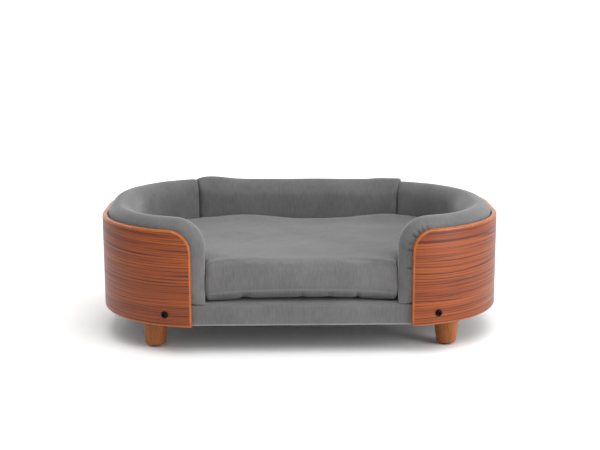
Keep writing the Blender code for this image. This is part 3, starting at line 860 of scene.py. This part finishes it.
# ---------------------------------------------------------------- bent shell
class DOGBED_OT_shell(bpy.types.Operator):
    """Cuts the veneered plywood blank, rounds its edges and bends it round the bed"""

    bl_idname = "dogbed.shell"
    bl_label = "Bent Shell"

    def execute(self, context):
        shell = settings().bed_shell
        corner_x, corner_y = corner_xy()
        radius = shell.corner_radius
        end_turn = math.asin((shell.front_end - corner_x) / radius)
        straight = 2 * corner_y
        bend = QUARTER * radius
        half = corner_x + bend + straight + bend - end_turn * radius
        blank = self.cut_blank(shell, half)
        cuts = [corner_x, corner_x + bend + straight / 2]
        for step in range(46):
            cuts.append(corner_x + bend * step / 45)
            cuts.append(corner_x + bend + straight + bend * step / 45)
        self.score(blank, [cut for cut in cuts if cut < half - 0.0001])
        points = points_of(blank.data)
        set_uv(blank.data, points[:, (0, 2)])
        self.bend(context, blank, half)
        smooth_by_angle(blank, 35)
        finish_piece(
            blank, "frame", "veneer", (veneer_material(), edge_material()), "bent_shell"
        )
        return {"FINISHED"}

    @staticmethod
    def cut_blank(shell, half):
        """The flat blank stands on the XZ plane; its outer face is at y = 0."""
        low = SHELL_LOW.z
        high = SHELL_HIGH.z
        deselect_all()
        bpy.ops.mesh.primitive_plane_add(
            size=1.0, location=(0, 0, (low + high) / 2), rotation=(-QUARTER, 0, 0)
        )
        blank = named("bent_plywood_shell")
        blank.scale = (2 * half, high - low, 1.0)
        apply_place(blank)
        blank.data.materials.append(veneer_material())
        blank.data.materials.append(edge_material())
        edit(blank)
        pick("VERT", lambda co: co.z > high - 1e-6)
        bpy.ops.mesh.bevel(
            offset=shell.front_corner, segments=18, profile=0.5, affect="VERTICES"
        )
        pick_all()
        extrude((0, -shell.thickness, 0))
        pick_all()
        bpy.ops.mesh.normals_make_consistent(inside=False)
        pick("FACE", lambda middle, face: abs(face.normal.y) < 0.5)
        blank.active_material_index = 1
        bpy.ops.object.material_slot_assign()
        pick(
            "EDGE",
            lambda middle, edge: min(abs(middle.y), abs(middle.y + shell.thickness)) < 1e-6,
        )
        round_edges(shell.edge_round, 5, material=1)
        leave_edit()
        return blank

    @staticmethod
    def score(blank, cuts):
        """Cuts across the blank wherever it is going to bend."""
        edit(blank)
        for place in cuts:
            for sign in (-1, 1):
                slice_through((sign * place, 0, 0), (1, 0, 0))
        leave_edit()

    @staticmethod
    def bend(context, blank, half):
        """Bends the blank along the plan of the shell's outer face."""
        curve = bpy.data.curves.new("shell_plan", "CURVE")
        curve.dimensions = "3D"
        curve.twist_mode = "Z_UP"
        spline = curve.splines.new("POLY")
        steps = 1200
        spline.points.add(steps)
        for index, point in enumerate(spline.points):
            place = plan_point(2 * half * index / steps - half)
            point.co = (place[0], place[1], 0.0, 1.0)
        guide = bpy.data.objects.new("shell_plan", curve)
        context.scene.collection.objects.link(guide)
        edit(blank)
        pick_all()
        bpy.ops.transform.translate(value=(half, 0, 0))
        leave_edit()
        modifier = blank.modifiers.new("bend", "CURVE")
        modifier.object = guide
        modifier.deform_axis = "POS_X"
        apply_modifiers(blank)
        bpy.data.objects.remove(guide)


# ---------------------------------------------------------------- bolts
class DOGBED_OT_bolts(bpy.types.Operator):
    """Adds the black socket-head bolts that hold the shell to the base"""

    bl_idname = "dogbed.bolts"
    bl_label = "Shell Bolts"

    def execute(self, context):
        head = self.make_head()
        for corner, sign_x, sign_y in CORNERS:
            node = "shell_bolt_" + corner
            low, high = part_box(node)
            bolt = add_mesh_object("socket_bolt_" + corner, head.data.copy())
            bolt.matrix_world = self.place(sign_x, sign_y, (low.z + high.z) / 2)
            apply_place(bolt)
            black = plain_material("blackened steel", (0.006, 0.006, 0.007), 0.14, 0.9)
            finish_piece(bolt, "frame", "black_steel", (black,), node)
        bpy.data.objects.remove(head)
        return {"FINISHED"}

    @staticmethod
    def place(sign_x, sign_y, height):
        """On the shell's outer face, with the head's top pointing out."""
        corner_x, corner_y = corner_xy()
        angle = math.radians(settings().bed_bolts.angle)
        outward = Vector((sign_x * math.sin(angle), sign_y * math.cos(angle), 0))
        centre = Vector((sign_x * corner_x, sign_y * corner_y, height))
        turn = outward.to_track_quat("Z", "Y").to_matrix().to_4x4()
        radius = settings().bed_shell.corner_radius
        return Matrix.Translation(centre + radius * outward) @ turn

    @staticmethod
    def make_head():
        """A domed button head on its shank, with a hexagon socket."""
        bolt = settings().bed_bolts
        top = Vector((0, 0, bolt.height))
        head = add_cylinder("bolt_head", 48, bolt.head, Vector(), top)
        edit(head)
        pick_rim(bolt.height, 1)
        round_edges(bolt.crown, 6)
        pick("FACE", lambda middle, face: face.normal.z < -0.9)
        bpy.ops.mesh.inset(thickness=bolt.head - bolt.shank)
        extrude((0, 0, -bolt.reach))
        leave_edit()
        half = Vector((0, 0, bolt.socket_depth))
        socket = add_cylinder("bolt_socket", 6, bolt.socket, top - half, top + half)
        cut = head.modifiers.new("socket", "BOOLEAN")
        cut.object = socket
        apply_modifiers(head)
        bpy.data.objects.remove(socket)
        smooth_by_angle(head, 32)
        return head


# ---------------------------------------------------------------- base
WALL_STEP = 0.0135      # spacing of the cuts across the base's fabric


class DOGBED_OT_base(bpy.types.Operator):
    """Wraps the base in fabric, with a soft top edge and a turned-under hem"""

    bl_idname = "dogbed.base"
    bl_label = "Base Upholstery"

    def execute(self, context):
        depth = HALF_DEPTH - BASE_HIGH.y
        low = BASE_LOW.z
        high = BASE_HIGH.z
        wall = self.wall(BASE_HIGH.y, low, high)
        edit(wall)
        for share in (0.10, 0.30, 0.55, 0.80):
            slice_through((0, 0, low + share * (high - low)), (0, 0, 1))
        for step in range(-12, 13):
            slice_through((WALL_STEP * step, 0, 0), (1, 0, 0))
        pick_rim(high, 1)
        bpy.ops.mesh.edge_face_add()
        pick_all()
        bpy.ops.mesh.normals_make_consistent(inside=False)
        pick_rim(high, 1)
        round_edges(0.0042, 5)
        self.hem(low, depth)
        leave_edit()
        self.soften(wall)
        smooth_by_angle(wall, 50)
        points = points_of(wall.data)
        upright = plan_length(points)
        flat = points[:, 2] > high - 1e-4
        across = np.where(flat, points[:, 0], upright)
        set_uv(wall.data, np.stack([across, points[:, 2] - points[:, 1] * flat], 1))
        # Painted highlight: a light line along the hem, where the rounded bottom edge catches the
        # light.
        near_hem = 1 - smooth_step(np.abs(points[:, 2] - low - 0.0012), 0.0008, 0.0020)
        set_mask(wall.data, "seam", 0.8 * near_hem)
        finish_piece(wall, "frame", "grey_fabric", (fabric_material(),), "base_cover")
        return {"FINISHED"}

    @staticmethod
    def wall(back_y, low, high):
        """An upright wall round the plan; its right half is drawn first and mirrored."""
        corner_x, corner_y = corner_xy()
        deselect_all()
        bpy.ops.mesh.primitive_plane_add(
            size=1.0, location=(corner_x / 2, back_y, (low + high) / 2),
            rotation=(QUARTER, 0, 0),
        )
        wall = named("base_upholstery")
        wall.scale = (corner_x, high - low, 1.0)
        apply_place(wall)
        edit(wall)
        pick("EDGE", lambda middle, edge: middle.x > corner_x - NEAR)
        for place_y, move in (
            (corner_y, (0, -2 * corner_y, 0)),
            (-corner_y, (-corner_x, 0, 0)),
        ):
            bpy.ops.mesh.spin(
                steps=24, angle=QUARTER, center=(corner_x, place_y, 0), axis=(0, 0, 1)
            )
            extrude(move)
        pick_all()
        bpy.ops.mesh.remove_doubles(threshold=NEAR)
        leave_edit()
        mirror = wall.modifiers.new("other_half", "MIRROR")
        mirror.use_axis = (True, False, False)
        mirror.merge_threshold = NEAR
        apply_modifiers(wall)
        return wall

    @staticmethod
    def hem(low, depth):
        """Rolls the fabric under the bottom edge and back over the dust cover."""
        pick_rim(low, -1)
        inwards = 0.012
        share_x = (BASE_HIGH.x - inwards) / BASE_HIGH.x
        share_y = (BASE_HIGH.y - inwards) / BASE_HIGH.y
        bpy.ops.mesh.extrude_edges_move(TRANSFORM_OT_translate={"value": (0, 0, 0)})
        bpy.ops.transform.resize(value=(share_x, share_y, 1.0), center_override=(0, 0, low))
        pick(
            "EDGE",
            lambda middle, edge: abs(middle.y) > 1e-9
            and all(
                v.co.z < low + NEAR and abs(plan_depth(np.array([v.co]))[0] - depth) < NEAR
                for v in edge.verts
            ),
        )
        round_edges(0.0022, 4)

    @staticmethod
    def soften(wall):
        """Small unevenness of fabric pulled over a wooden rail."""
        points = points_of(wall.data)
        normals = normals_of(wall.data)
        wave = 0.0004 * wander(points, 22.0, 4)
        set_points(wall.data, points + normals * wave[:, None])


# ---------------------------------------------------------------- legs
class DOGBED_OT_legs(bpy.types.Operator):
    """Turns the four tapered legs, each on its black glide"""

    bl_idname = "dogbed.legs"
    bl_label = "Legs and Glides"

    def execute(self, context):
        foot = settings().bed_legs.foot
        for corner, _, _ in CORNERS:
            rounds = ((0.0030, 6), (0.0008, 2))
            self.turn("turned_", "leg_" + corner, foot, rounds, "leg_wood", leg_material())
            rounds = ((0.0008, 3), (0.0004, 2))
            rubber = plain_material("black rubber", (0.012, 0.012, 0.012), 0.6)
            self.turn("round_", "glide_" + corner, None, rounds, "glide_pad", rubber)
        return {"FINISHED"}

    @staticmethod
    def turn(prefix, node, foot, rounds, slot, material):
        """A round piece in its CAD box; rounds are its lower and upper rim's (size, steps)."""
        low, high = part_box(node)
        radius = (high.x - low.x) / 2
        piece = add_cylinder(prefix + node, settings().bed_legs.facets, radius, low, high)
        edit(piece)
        if foot:
            centre = (low + high) / 2
            pick("VERT", lambda co: co.z < centre.z)
            share = foot / radius
            bpy.ops.transform.resize(value=(share, share, 1), center_override=centre)
        for height, side, (size, steps) in zip((low.z, high.z), (-1, 1), rounds):
            pick_rim(height, side)
            round_edges(size, steps)
        leave_edit()
        smooth_by_angle(piece, 40)
        finish_piece(piece, "frame", slot, (material,), node)


# ---------------------------------------------------------------- bolsters
def side_columns(depth, inset, end_inset):
    """Right bolster at one depth, front end to back end: (x, y, top, lean).

    lean is the angle of the crest line: 0 down the front end, a quarter turn on top.
    """
    pad = settings().bed_bolster
    corner_x, corner_y = corner_xy()
    crest = SIDE_HIGH.z
    radius = pad.front_corner - inset
    centre_x = pad.front_end + pad.front_corner
    centre_z = crest - pad.front_corner
    columns = []
    for angle in np.linspace(0, QUARTER, 15):
        x = centre_x - radius * math.cos(angle)
        top = centre_z + radius * math.sin(angle)
        columns.append((x, -plan_y(x, depth), top, angle))
    top = crest - inset
    bend = settings().bed_shell.corner_radius - depth
    start = math.asin((centre_x - corner_x) / bend)
    for angle in np.linspace(start, QUARTER, 34)[1:]:
        columns.append((*plan_corner(depth, -1, angle), top, QUARTER))
    for y in np.linspace(-corner_y, corner_y, 14)[1:-1]:
        columns.append((HALF_WIDTH - depth, y, top, QUARTER))
    end_x = MEETING_END + mitre(depth) + end_inset
    stop = math.asin((end_x - corner_x) / bend)
    for angle in np.linspace(QUARTER, stop, 38):
        columns.append((*plan_corner(depth, 1, angle), top, QUARTER))
    return columns


def mitre(depth):
    """Shift of a meeting end: the back bolster tucks behind the side bolsters."""
    pad = settings().bed_bolster
    inner = settings().bed_shell.thickness + pad.clearance + pad.thickness
    return MITRE * (inner - depth) / pad.thickness


def back_columns(depth, inset, end_inset):
    """Back bolster at one depth, right end to left end: (x, y, top, lean)."""
    half = MEETING_END + mitre(depth) - 0.4 * end_inset
    columns = []
    for x in np.linspace(half, -half, 72):
        columns.append((x, plan_y(x, depth), BACK_HIGH.z - inset, QUARTER))
    return columns


def pad_cage(name, columns_at, rings, rows):
    """A closed pad: a grid on its back and inner faces, and rings over its rounded rim.

    rings are (depth, top inset, end inset, foot inset, distance from the seam).
    """
    bm = bmesh.new()
    uv_of = {}
    gap_of = {}
    layers = []
    middle_depth = (rings[0][0] + rings[-1][0]) / 2
    for index, (depth, inset, end_inset, foot, gap) in enumerate(rings):
        full = index in (0, len(rings) - 1)
        columns = columns_at(depth, inset, end_inset)
        lengths = plan_length(np.array([(x, y, 0.0) for x, y, _, _ in columns]))
        outer = depth < middle_depth
        spare = abs(depth - (rings[0][0] if outer else rings[-1][0]))
        layer = {}
        last = len(columns) - 1
        for column, (x, y, top, lean) in enumerate(columns):
            low = SIDE_LOW.z + foot
            for row in range(rows + 1):
                rim = row in (0, rows) or column in (0, last)
                if not (full or rim):
                    continue
                z = low + (top - low) * row / rows
                vert = bm.verts.new((x, y, z))
                layer[column, row] = vert
                uv_of[vert] = (
                    lengths[column] + spare * math.cos(lean) * (row > 0),
                    z + spare * math.sin(lean) * (row > 0),
                )
                gap_of[vert] = gap
        layers.append(layer)
    last = max(column for column, _ in layers[0])
    for near, far in zip(layers, layers[1:]):
        for column in range(last):
            for row, turn in ((rows, 1), (0, -1)):
                face = (near[column, row], near[column + 1, row],
                        far[column + 1, row], far[column, row])
                bm.faces.new(face[::turn])
        for row in range(rows):
            for column, turn in ((0, 1), (last, -1)):
                face = (near[column, row], near[column, row + 1],
                        far[column, row + 1], far[column, row])
                bm.faces.new(face[::turn])
    for layer, turn in ((layers[-1], 1), (layers[0], -1)):
        for column in range(last):
            for row in range(rows):
                face = (layer[column + 1, row], layer[column, row],
                        layer[column, row + 1], layer[column + 1, row + 1])
                bm.faces.new(face[::turn])
    bm.verts.index_update()
    mesh = bpy.data.meshes.new(name)
    uvs = np.array([uv_of[vert] for vert in bm.verts])
    gaps = np.array([gap_of[vert] for vert in bm.verts])
    bm.to_mesh(mesh)
    bm.free()
    set_uv(mesh, uvs)
    set_mask(mesh, "seam_gap", gaps)
    return add_mesh_object(name, mesh)


def roll_rings(out_depth, in_depth, end_round, foot_round, steps):
    """Rings over a half-round rim, from the back face to the inner face."""
    middle = (out_depth + in_depth) / 2
    radius = (in_depth - out_depth) / 2
    rings = []
    for angle in np.linspace(-QUARTER, QUARTER, 2 * steps + 1):
        fall = 1 - math.cos(angle)
        rings.append(
            (
                middle + radius * math.sin(angle),
                radius * fall,
                end_round * fall,
                foot_round * fall,
                radius * abs(angle),
            )
        )
    return rings


def mirrored(obj):
    """Turns a right-hand piece into a left-hand one."""
    take(obj)
    obj.scale = (-1, 1, 1)
    apply_place(obj)
    edit(obj)
    pick_all()
    bpy.ops.mesh.flip_normals()
    leave_edit()


def stuffed(name, columns_at, rows, shape):
    """A pad filled out on both sides of its seam, shaped, and kept off the shell."""
    pad = settings().bed_bolster
    out_depth = settings().bed_shell.thickness + pad.clearance
    rings = roll_rings(
        out_depth, out_depth + pad.thickness, pad.end_round, pad.foot_round, 6
    )
    bolster = pad_cage(name, columns_at, rings, rows)
    gap = read_mask(bolster.data, "seam_gap")
    blow_up(bolster, 16, BOLSTER_CAP, np.flatnonzero(gap < 1e-6))
    shape(bolster)
    keep_clear(bolster, out_depth, pad.thickness)
    subdivide_surface(bolster)
    return bolster


def keep_clear(bolster, out_depth, thickness):
    """Keeps the pad off the shell, and on the deck."""
    points = points_of(bolster.data)
    depth = plan_depth(points)
    inside = 1 - smooth_step(points[:, 2], SHELL_HIGH.z, SHELL_HIGH.z + 0.008)
    push = np.maximum(out_depth - depth, 0.0) * (np.abs(points[:, 0]) > 0.186) * inside
    pull = np.minimum(out_depth + thickness + 0.003 - depth, 0.0)
    points += plan_inward(points) * (push + pull)[:, None]
    floor = SIDE_LOW.z - 0.0006 * smooth_step(-points[:, 1], 0.172, 0.186)
    points[:, 2] = np.maximum(points[:, 2], floor)
    set_points(bolster.data, points)


def finish_bolster(bolster, side):
    """Paints a highlight along the seam, stronger over the front of the crest, and gives the
    bolster its material and body.
    """
    gap = read_mask(bolster.data, "seam_gap")
    _, y, z = points_of(bolster.data).T
    # The painted highlight shows along the front of the crest and fades along the sides.
    shown = smooth_step(-y, 0.05, 0.11) * smooth_step(z, 0.09, 0.12)
    line = 1 - smooth_step(gap, 0.0004, 0.0022)
    set_mask(bolster.data, "seam", (0.12 + 0.50 * shown) * line)
    smooth_by_angle(bolster, 80)
    finish_piece(
        bolster, side + "_bolster", "grey_fabric", (fabric_material(),),
        side + "_bolster_cover", side + "_bolster_foam",
    )


# creases round the shell's front corner: (angle, width, depth)
CREASES = (
    (1.20, 0.045, 0.0032),
    (1.02, 0.042, 0.0036),
    (0.84, 0.045, 0.0040),
    (0.62, 0.050, 0.0042),
    (0.28, 0.050, 0.0028),
    (0.02, 0.045, 0.0042),
    (-0.78, 0.050, 0.0040),
)


class DOGBED_OT_side_bolsters(bpy.types.Operator):
    """Stuffs the two side bolsters that wrap round the ends of the bed"""

    bl_idname = "dogbed.side_bolsters"
    bl_label = "Side Bolsters"

    def execute(self, context):
        pad = settings().bed_bolster
        for side, sign in SIDES:
            drop = pad.right_drop if sign > 0 else pad.left_drop
            bolster = stuffed(
                side + "_side_bolster", side_columns, 26,
                lambda piece: self.settle(piece, drop, sign * pad.joint_shift),
            )
            if sign > 0:
                self.pucker(bolster)
            else:
                mirrored(bolster)
            finish_bolster(bolster, side)
        return {"FINISHED"}

    @staticmethod
    def iron(bolster):
        """Evens out the cloth where the bolster turns round the end of the bed."""
        chosen = bolster.vertex_groups.new(name="curve")
        x, y, _ = points_of(bolster.data).T
        curve = smooth_step(np.abs(x), 0.205, 0.245) * smooth_step(y, -0.10, -0.04)
        for index in np.flatnonzero(curve > 0.02).tolist():
            chosen.add([index], float(curve[index]), "REPLACE")
        modifier = bolster.modifiers.new("iron", "SMOOTH")
        modifier.factor = 0.5
        modifier.iterations = 8
        modifier.vertex_group = "curve"
        apply_modifiers(bolster)
        bolster.vertex_groups.clear()

    @staticmethod
    def settle(bolster, drop, shift):
        """Lowers the crest towards the back, and hangs the front foot over the base."""
        DOGBED_OT_side_bolsters.iron(bolster)
        points = points_of(bolster.data)
        x, y, z = points.T
        share = smooth_step(z, SIDE_LOW.z + 0.030, SIDE_HIGH.z)
        points[:, 2] -= share * drop * smooth_step(y, -0.08, 0.10)
        points[:, 2] += 0.0006 * share * wander(points, 18.0, 6)
        points[:, 2] -= 0.0040 * share * (y > 0) * smooth_step(-np.abs(x), -0.203, -0.191) ** 2
        outer = smooth_step(-plan_depth(points), -0.034, -0.008) * smooth_step(z, 0.204, 0.222)
        outer *= smooth_step(y, -0.15, -0.09)
        points -= plan_inward(points) * (0.0048 * outer)[:, None]
        points[:, 0] += shift * smooth_step(y, 0.10, 0.17) * smooth_step(-x, -0.25, -0.21)
        foot = 1 - smooth_step(z, SIDE_LOW.z, SIDE_LOW.z + 0.026)
        front = smooth_step(-y, 0.170, 0.184) * smooth_step(-x, -0.188, -0.176)
        share = foot * front
        points[:, 1] += share * 0.8 * np.minimum(-0.2118 - y, 0.0)
        points[:, 2] -= 0.0006 * share
        set_points(bolster.data, points)

    @staticmethod
    def pucker(bolster):
        """Small creases where the fabric is pulled in behind the shell's front corner."""
        shell = settings().bed_shell
        points = points_of(bolster.data)
        normals = normals_of(bolster.data)
        depth = plan_depth(points)
        centre_x = shell.front_end + shell.front_corner
        centre_z = SHELL_HIGH.z - shell.front_corner
        over = np.maximum(points[:, 2] - centre_z, 0.0)
        aside = np.maximum(centre_x - points[:, 0], 1e-6)
        turn = np.arctan2(over, aside)
        turn += np.minimum(points[:, 2] - centre_z, 0.0) / shell.front_corner
        reach = np.hypot(aside, over) - shell.front_corner
        near = bell(depth - shell.thickness, 0.0080) * (points[:, 1] < -0.15)
        near *= smooth_step(reach, -0.007, 0.001) * (1 - smooth_step(reach, 0.006, 0.015))
        inward = near * ripples(turn, CREASES)
        set_points(bolster.data, points - normals * inward[:, None])


class DOGBED_OT_back_bolster(bpy.types.Operator):
    """Stuffs the straight bolster along the back"""

    bl_idname = "dogbed.back_bolster"
    bl_label = "Back Bolster"

    def execute(self, context):
        bolster = stuffed("back_pad", back_columns, 28, self.wave)
        finish_bolster(bolster, "back")
        return {"FINISHED"}

    @staticmethod
    def wave(bolster):
        """The top edge stands up at the left end, and dips a little before the right one."""
        points = points_of(bolster.data)
        x, _, z = points.T
        share = smooth_step(z, SIDE_LOW.z + 0.040, BACK_HIGH.z)
        rise = 0.0050 * bell(x + 0.172, 0.040)
        rise -= 0.0036 * smooth_step(-x, 0.184, 0.206)
        rise += 0.0014 * smooth_step(x, 0.135, 0.160) - 0.0016 * smooth_step(x, 0.0, 0.13)
        rise += 0.0007 * wander(points * (1.0, 0.2, 0.2), 14.0, 3) - 0.0022
        points[:, 2] += share * rise
        points[:, 0] += settings().bed_bolster.joint_shift
        set_points(bolster.data, points)


# ---------------------------------------------------------------- seat cushion
# the cushion's cage: (inset, inset of the front, height above the bottom) of each level
SEAT_LEVELS = (
    (0.003, 0.008, 0.0003),
    (-0.001, 0.003, 0.0020),
    (-0.0025, 0.000, 0.0065),
    (-0.0025, -0.001, 0.0160),
    (-0.002, -0.001, 0.030),
    (-0.001, 0.001, 0.044),
    (-0.001, 0.003, 0.055),
    (-0.001, 0.005, 0.0625),
    (0.001, 0.009, 0.0675),
    (0.004, 0.014, 0.0700),
)
SEAT_CAP = 0.0032       # how far the cloth simulation may move the cushion's cloth
HUMP_BACK = 0.140       # how far behind the middle the seat's humps stand

# puckers along the front's lower edge: (place, width, depth)
TUCKS = (
    (-0.098, 0.0058, 0.0020),
    (-0.090, 0.0040, 0.0012),
    (0.000, 0.0040, 0.0015),
    (0.046, 0.0045, 0.0012),
    (0.094, 0.0040, 0.0017),
)


def seat_outline(inset, front_inset):
    """Oval inside the bolsters, with a tongue between their front ends."""
    seat = settings().bed_seat
    depth = HALF_DEPTH - SEAT_HIGH.y + inset
    tongue = seat.tongue - inset
    front = SEAT_LOW.y + front_inset
    radius = seat.tongue_corner
    shoulder = -(HALF_DEPTH - depth)
    outline = [(tongue, shoulder)]
    outline += [plan_corner(depth, -1, angle) for angle in np.linspace(0, QUARTER, 20)]
    outline += [plan_corner(depth, 1, angle) for angle in np.linspace(QUARTER, 0, 20)]
    outline += [(-x, y) for x, y in outline[:0:-1]]
    outline.append((-tongue, shoulder))
    for sign, shares in ((-1, np.linspace(0, 1, 6)), (1, np.linspace(1, 0, 6))):
        for share in shares:
            turn = share * QUARTER
            x = tongue - radius + radius * math.cos(turn)
            y = front + radius - radius * math.sin(turn)
            outline.append((sign * x, y))
    return outline


def front_arch(x, y):
    """1 in the middle of the cushion's front edge, 0 at its corners and further back."""
    seat = settings().bed_seat
    across = np.clip(1 - np.abs(x / seat.tongue) ** 3, 0.0, 1.0)
    return across * smooth_step(-y, 0.135, 0.195)


def hump(x, y, centre, width, depth):
    """A soft hump towards the back of the cushion."""
    return np.exp(-(((x - centre) / width) ** 2) - ((y - HUMP_BACK) / depth) ** 2)


class DOGBED_OT_seat(bpy.types.Operator):
    """Fills the loose seat cushion, and presses in its seam"""

    bl_idname = "dogbed.seat"
    bl_label = "Seat Cushion"

    def execute(self, context):
        cushion = self.cage()
        self.remesh(cushion)
        height = points_of(cushion.data)[:, 2] - SEAT_LOW.z
        wall = np.flatnonzero((height > 0.006) & (height < 0.054))
        blow_up(cushion, 18, SEAT_CAP, wall)
        self.shape(cushion)
        subdivide_surface(cushion)
        self.press_seam(cushion)
        points = points_of(cushion.data)
        set_uv(cushion.data, np.stack([points[:, 0], points[:, 1] + points[:, 2]], 1))
        smooth_by_angle(cushion, 80)
        finish_piece(
            cushion, "seat_cushion", "grey_fabric", (fabric_material(),),
            "seat_cushion_cover", "seat_cushion_fill",
        )
        return {"FINISHED"}

    @staticmethod
    def cage():
        bm = bmesh.new()
        loops = []
        for inset, front_inset, level in SEAT_LEVELS:
            outline = seat_outline(inset, front_inset)
            height = SEAT_LOW.z + level
            loops.append([bm.verts.new((x, y, height)) for x, y in outline])
        bm.faces.new(loops[0][::-1])
        bm.faces.new(loops[-1])
        for lower, upper in zip(loops, loops[1:]):
            for index in range(len(lower)):
                after = (index + 1) % len(lower)
                bm.faces.new((lower[index], lower[after], upper[after], upper[index]))
        bmesh.ops.triangulate(bm, faces=[face for face in bm.faces if len(face.verts) > 4])
        mesh = bpy.data.meshes.new("puffed_seat_cushion")
        bm.to_mesh(mesh)
        bm.free()
        return add_mesh_object("puffed_seat_cushion", mesh)

    @staticmethod
    def remesh(cushion):
        modifier = cushion.modifiers.new("grid", "REMESH")
        modifier.mode = "VOXEL"
        modifier.voxel_size = settings().bed_seat.voxel
        apply_modifiers(cushion)

    @staticmethod
    def shape(cushion):
        """Two full back corners with a dip between them, and a lifted front edge."""
        seat = settings().bed_seat
        points = points_of(cushion.data)
        x, y, z = points.T
        low = SEAT_LOW.z
        share = np.clip((z - low) / (SEAT_HIGH.z - low), 0.0, 1.0)
        left = hump(x, y, -0.100, 0.062, 0.075)
        right = hump(x, y, 0.178, 0.062, 0.075)
        dip = hump(x, y, 0.030, 0.060, 0.060)
        rise = seat.puff * (left + right) - seat.dip * dip
        rise += seat.back_rise * smooth_step(y, -0.08, 0.13)
        rise -= seat.front_fall * smooth_step(-y, 0.10, 0.19)
        corners = smooth_step(np.abs(x), 0.095, 0.150) * smooth_step(-y, 0.09, 0.15)
        rise += seat.corner_rise * corners
        points[:, 2] += share * rise
        points[:, 2] += (1 - share) ** 0.5 * front_arch(x, y) * seat.front_lift
        points[:, 2] += 0.0014 * share * wander(points, 15.0, 2)
        points[:, 2] += 0.0006 * share * wander(points, 40.0, 5)
        points[:, 2] = np.maximum(points[:, 2], low)
        set_points(cushion.data, points)

    @staticmethod
    def press_seam(cushion):
        """The seam along the wall with a painted highlight on it, and the puckers where the
        bottom panel is gathered.
        """
        seat = settings().bed_seat
        points = points_of(cushion.data)
        normals = normals_of(cushion.data)
        x, y, z = points.T
        lift = front_arch(x, y) * seat.front_lift
        height = SEAT_LOW.z + seat.seam_height + 0.85 * lift
        upright = 1 - smooth_step(np.abs(normals[:, 2]), 0.75, 0.95)
        gap = z - height
        groove = upright * bell(gap, 0.0022)
        below = smooth_step(-gap, 0.001, 0.010) * smooth_step(-y, 0.150, 0.190)
        tucks = ripples(x, TUCKS)
        inward = 0.0010 * groove + 0.0014 * upright * smooth_step(-gap, 0.0, 0.003)
        inward += below * tucks
        points -= normals * inward[:, None]
        points[:, 2] += 0.6 * below * tucks
        set_points(cushion.data, points)
        # Painted highlight: a light line along the seam.
        set_mask(cushion.data, "seam", 0.45 * upright * bell(gap, 0.0011))


class DOGBED_OT_zip(bpy.types.Operator):
    """Finishes the zip along the back of the seat cushion"""

    bl_idname = "dogbed.zip"
    bl_label = "Zip"

    def execute(self, context):
        tape = plain_material("zip tape", (0.05, 0.05, 0.05), 0.85, 0.0, 400.0, 0.4)
        repaint(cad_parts["zip_tape"], tape)
        metal = plain_material("dark zip metal", (0.10, 0.10, 0.105), 0.3, 0.9)
        repaint(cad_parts["zip_slider"], metal)
        return {"FINISHED"}


# ---------------------------------------------------------------- hidden pieces
class DOGBED_OT_inside(bpy.types.Operator):
    """Gives the pieces inside the bed their bare materials"""

    bl_idname = "dogbed.inside"
    bl_label = "Pieces Inside"

    def execute(self, context):
        foam = plain_material("cut foam", (0.72, 0.66, 0.48), 0.95, 0.0, 300.0, 0.25)
        fill = plain_material("fibre fill", (0.80, 0.80, 0.80), 0.98, 0.0, 120.0, 0.15)
        zinc = plain_material("zinc plate", (0.50, 0.50, 0.47), 0.35, 1.0)
        cloth = plain_material("dust cover cloth", (0.016, 0.016, 0.017), 0.9, 0.0, 700.0, 0.5)
        kinds = (
            (("_rail", "corner_block", "_board"), plywood_material()),
            (("_foam",), foam),
            (("_fill",), fill),
            (("hanger_bolt", "tee_nut", "threaded_insert"), zinc),
            (("dust_cover",), cloth),
        )
        for name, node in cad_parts.items():
            for words, material in kinds:
                if any(word in name for word in words):
                    repaint(node, material)
        return {"FINISHED"}


# ---------------------------------------------------------------- panel
OPERATORS = (
    DOGBED_OT_stage,
    DOGBED_OT_shell,
    DOGBED_OT_bolts,
    DOGBED_OT_base,
    DOGBED_OT_legs,
    DOGBED_OT_side_bolsters,
    DOGBED_OT_back_bolster,
    DOGBED_OT_seat,
    DOGBED_OT_zip,
    DOGBED_OT_inside,
)


class DOGBED_PT_panel(bpy.types.Panel):
    bl_idname = "DOGBED_PT_panel"
    bl_label = "Dog Bed"
    bl_space_type = "VIEW_3D"
    bl_region_type = "UI"
    bl_category = "Dog Bed"

    def draw(self, context):
        for operator in OPERATORS:
            self.layout.operator(operator.bl_idname)


SETTINGS = (
    ("bed_shell", ShellSettings),
    ("bed_fabric", FabricSettings),
    ("bed_bolster", BolsterSettings),
    ("bed_seat", SeatSettings),
    ("bed_bolts", BoltSettings),
    ("bed_legs", LegSettings),
    ("bed_stage", StageSettings),
)


def register():
    for name, group in SETTINGS:
        bpy.utils.register_class(group)
        setattr(bpy.types.Scene, name, PointerProperty(type=group))
    for operator in OPERATORS:
        bpy.utils.register_class(operator)
    bpy.utils.register_class(DOGBED_PT_panel)


def unregister():
    bpy.utils.unregister_class(DOGBED_PT_panel)
    for operator in reversed(OPERATORS):
        bpy.utils.unregister_class(operator)
    for name, group in reversed(SETTINGS):
        delattr(bpy.types.Scene, name)
        bpy.utils.unregister_class(group)


def main():
    register()
    bpy.ops.dogbed.stage()
    bpy.ops.dogbed.shell()
    bpy.ops.dogbed.bolts()
    bpy.ops.dogbed.base()
    bpy.ops.dogbed.legs()
    bpy.ops.dogbed.side_bolsters()
    bpy.ops.dogbed.back_bolster()
    bpy.ops.dogbed.seat()
    bpy.ops.dogbed.zip()
    bpy.ops.dogbed.inside()


if __name__ == "__main__":
    main()
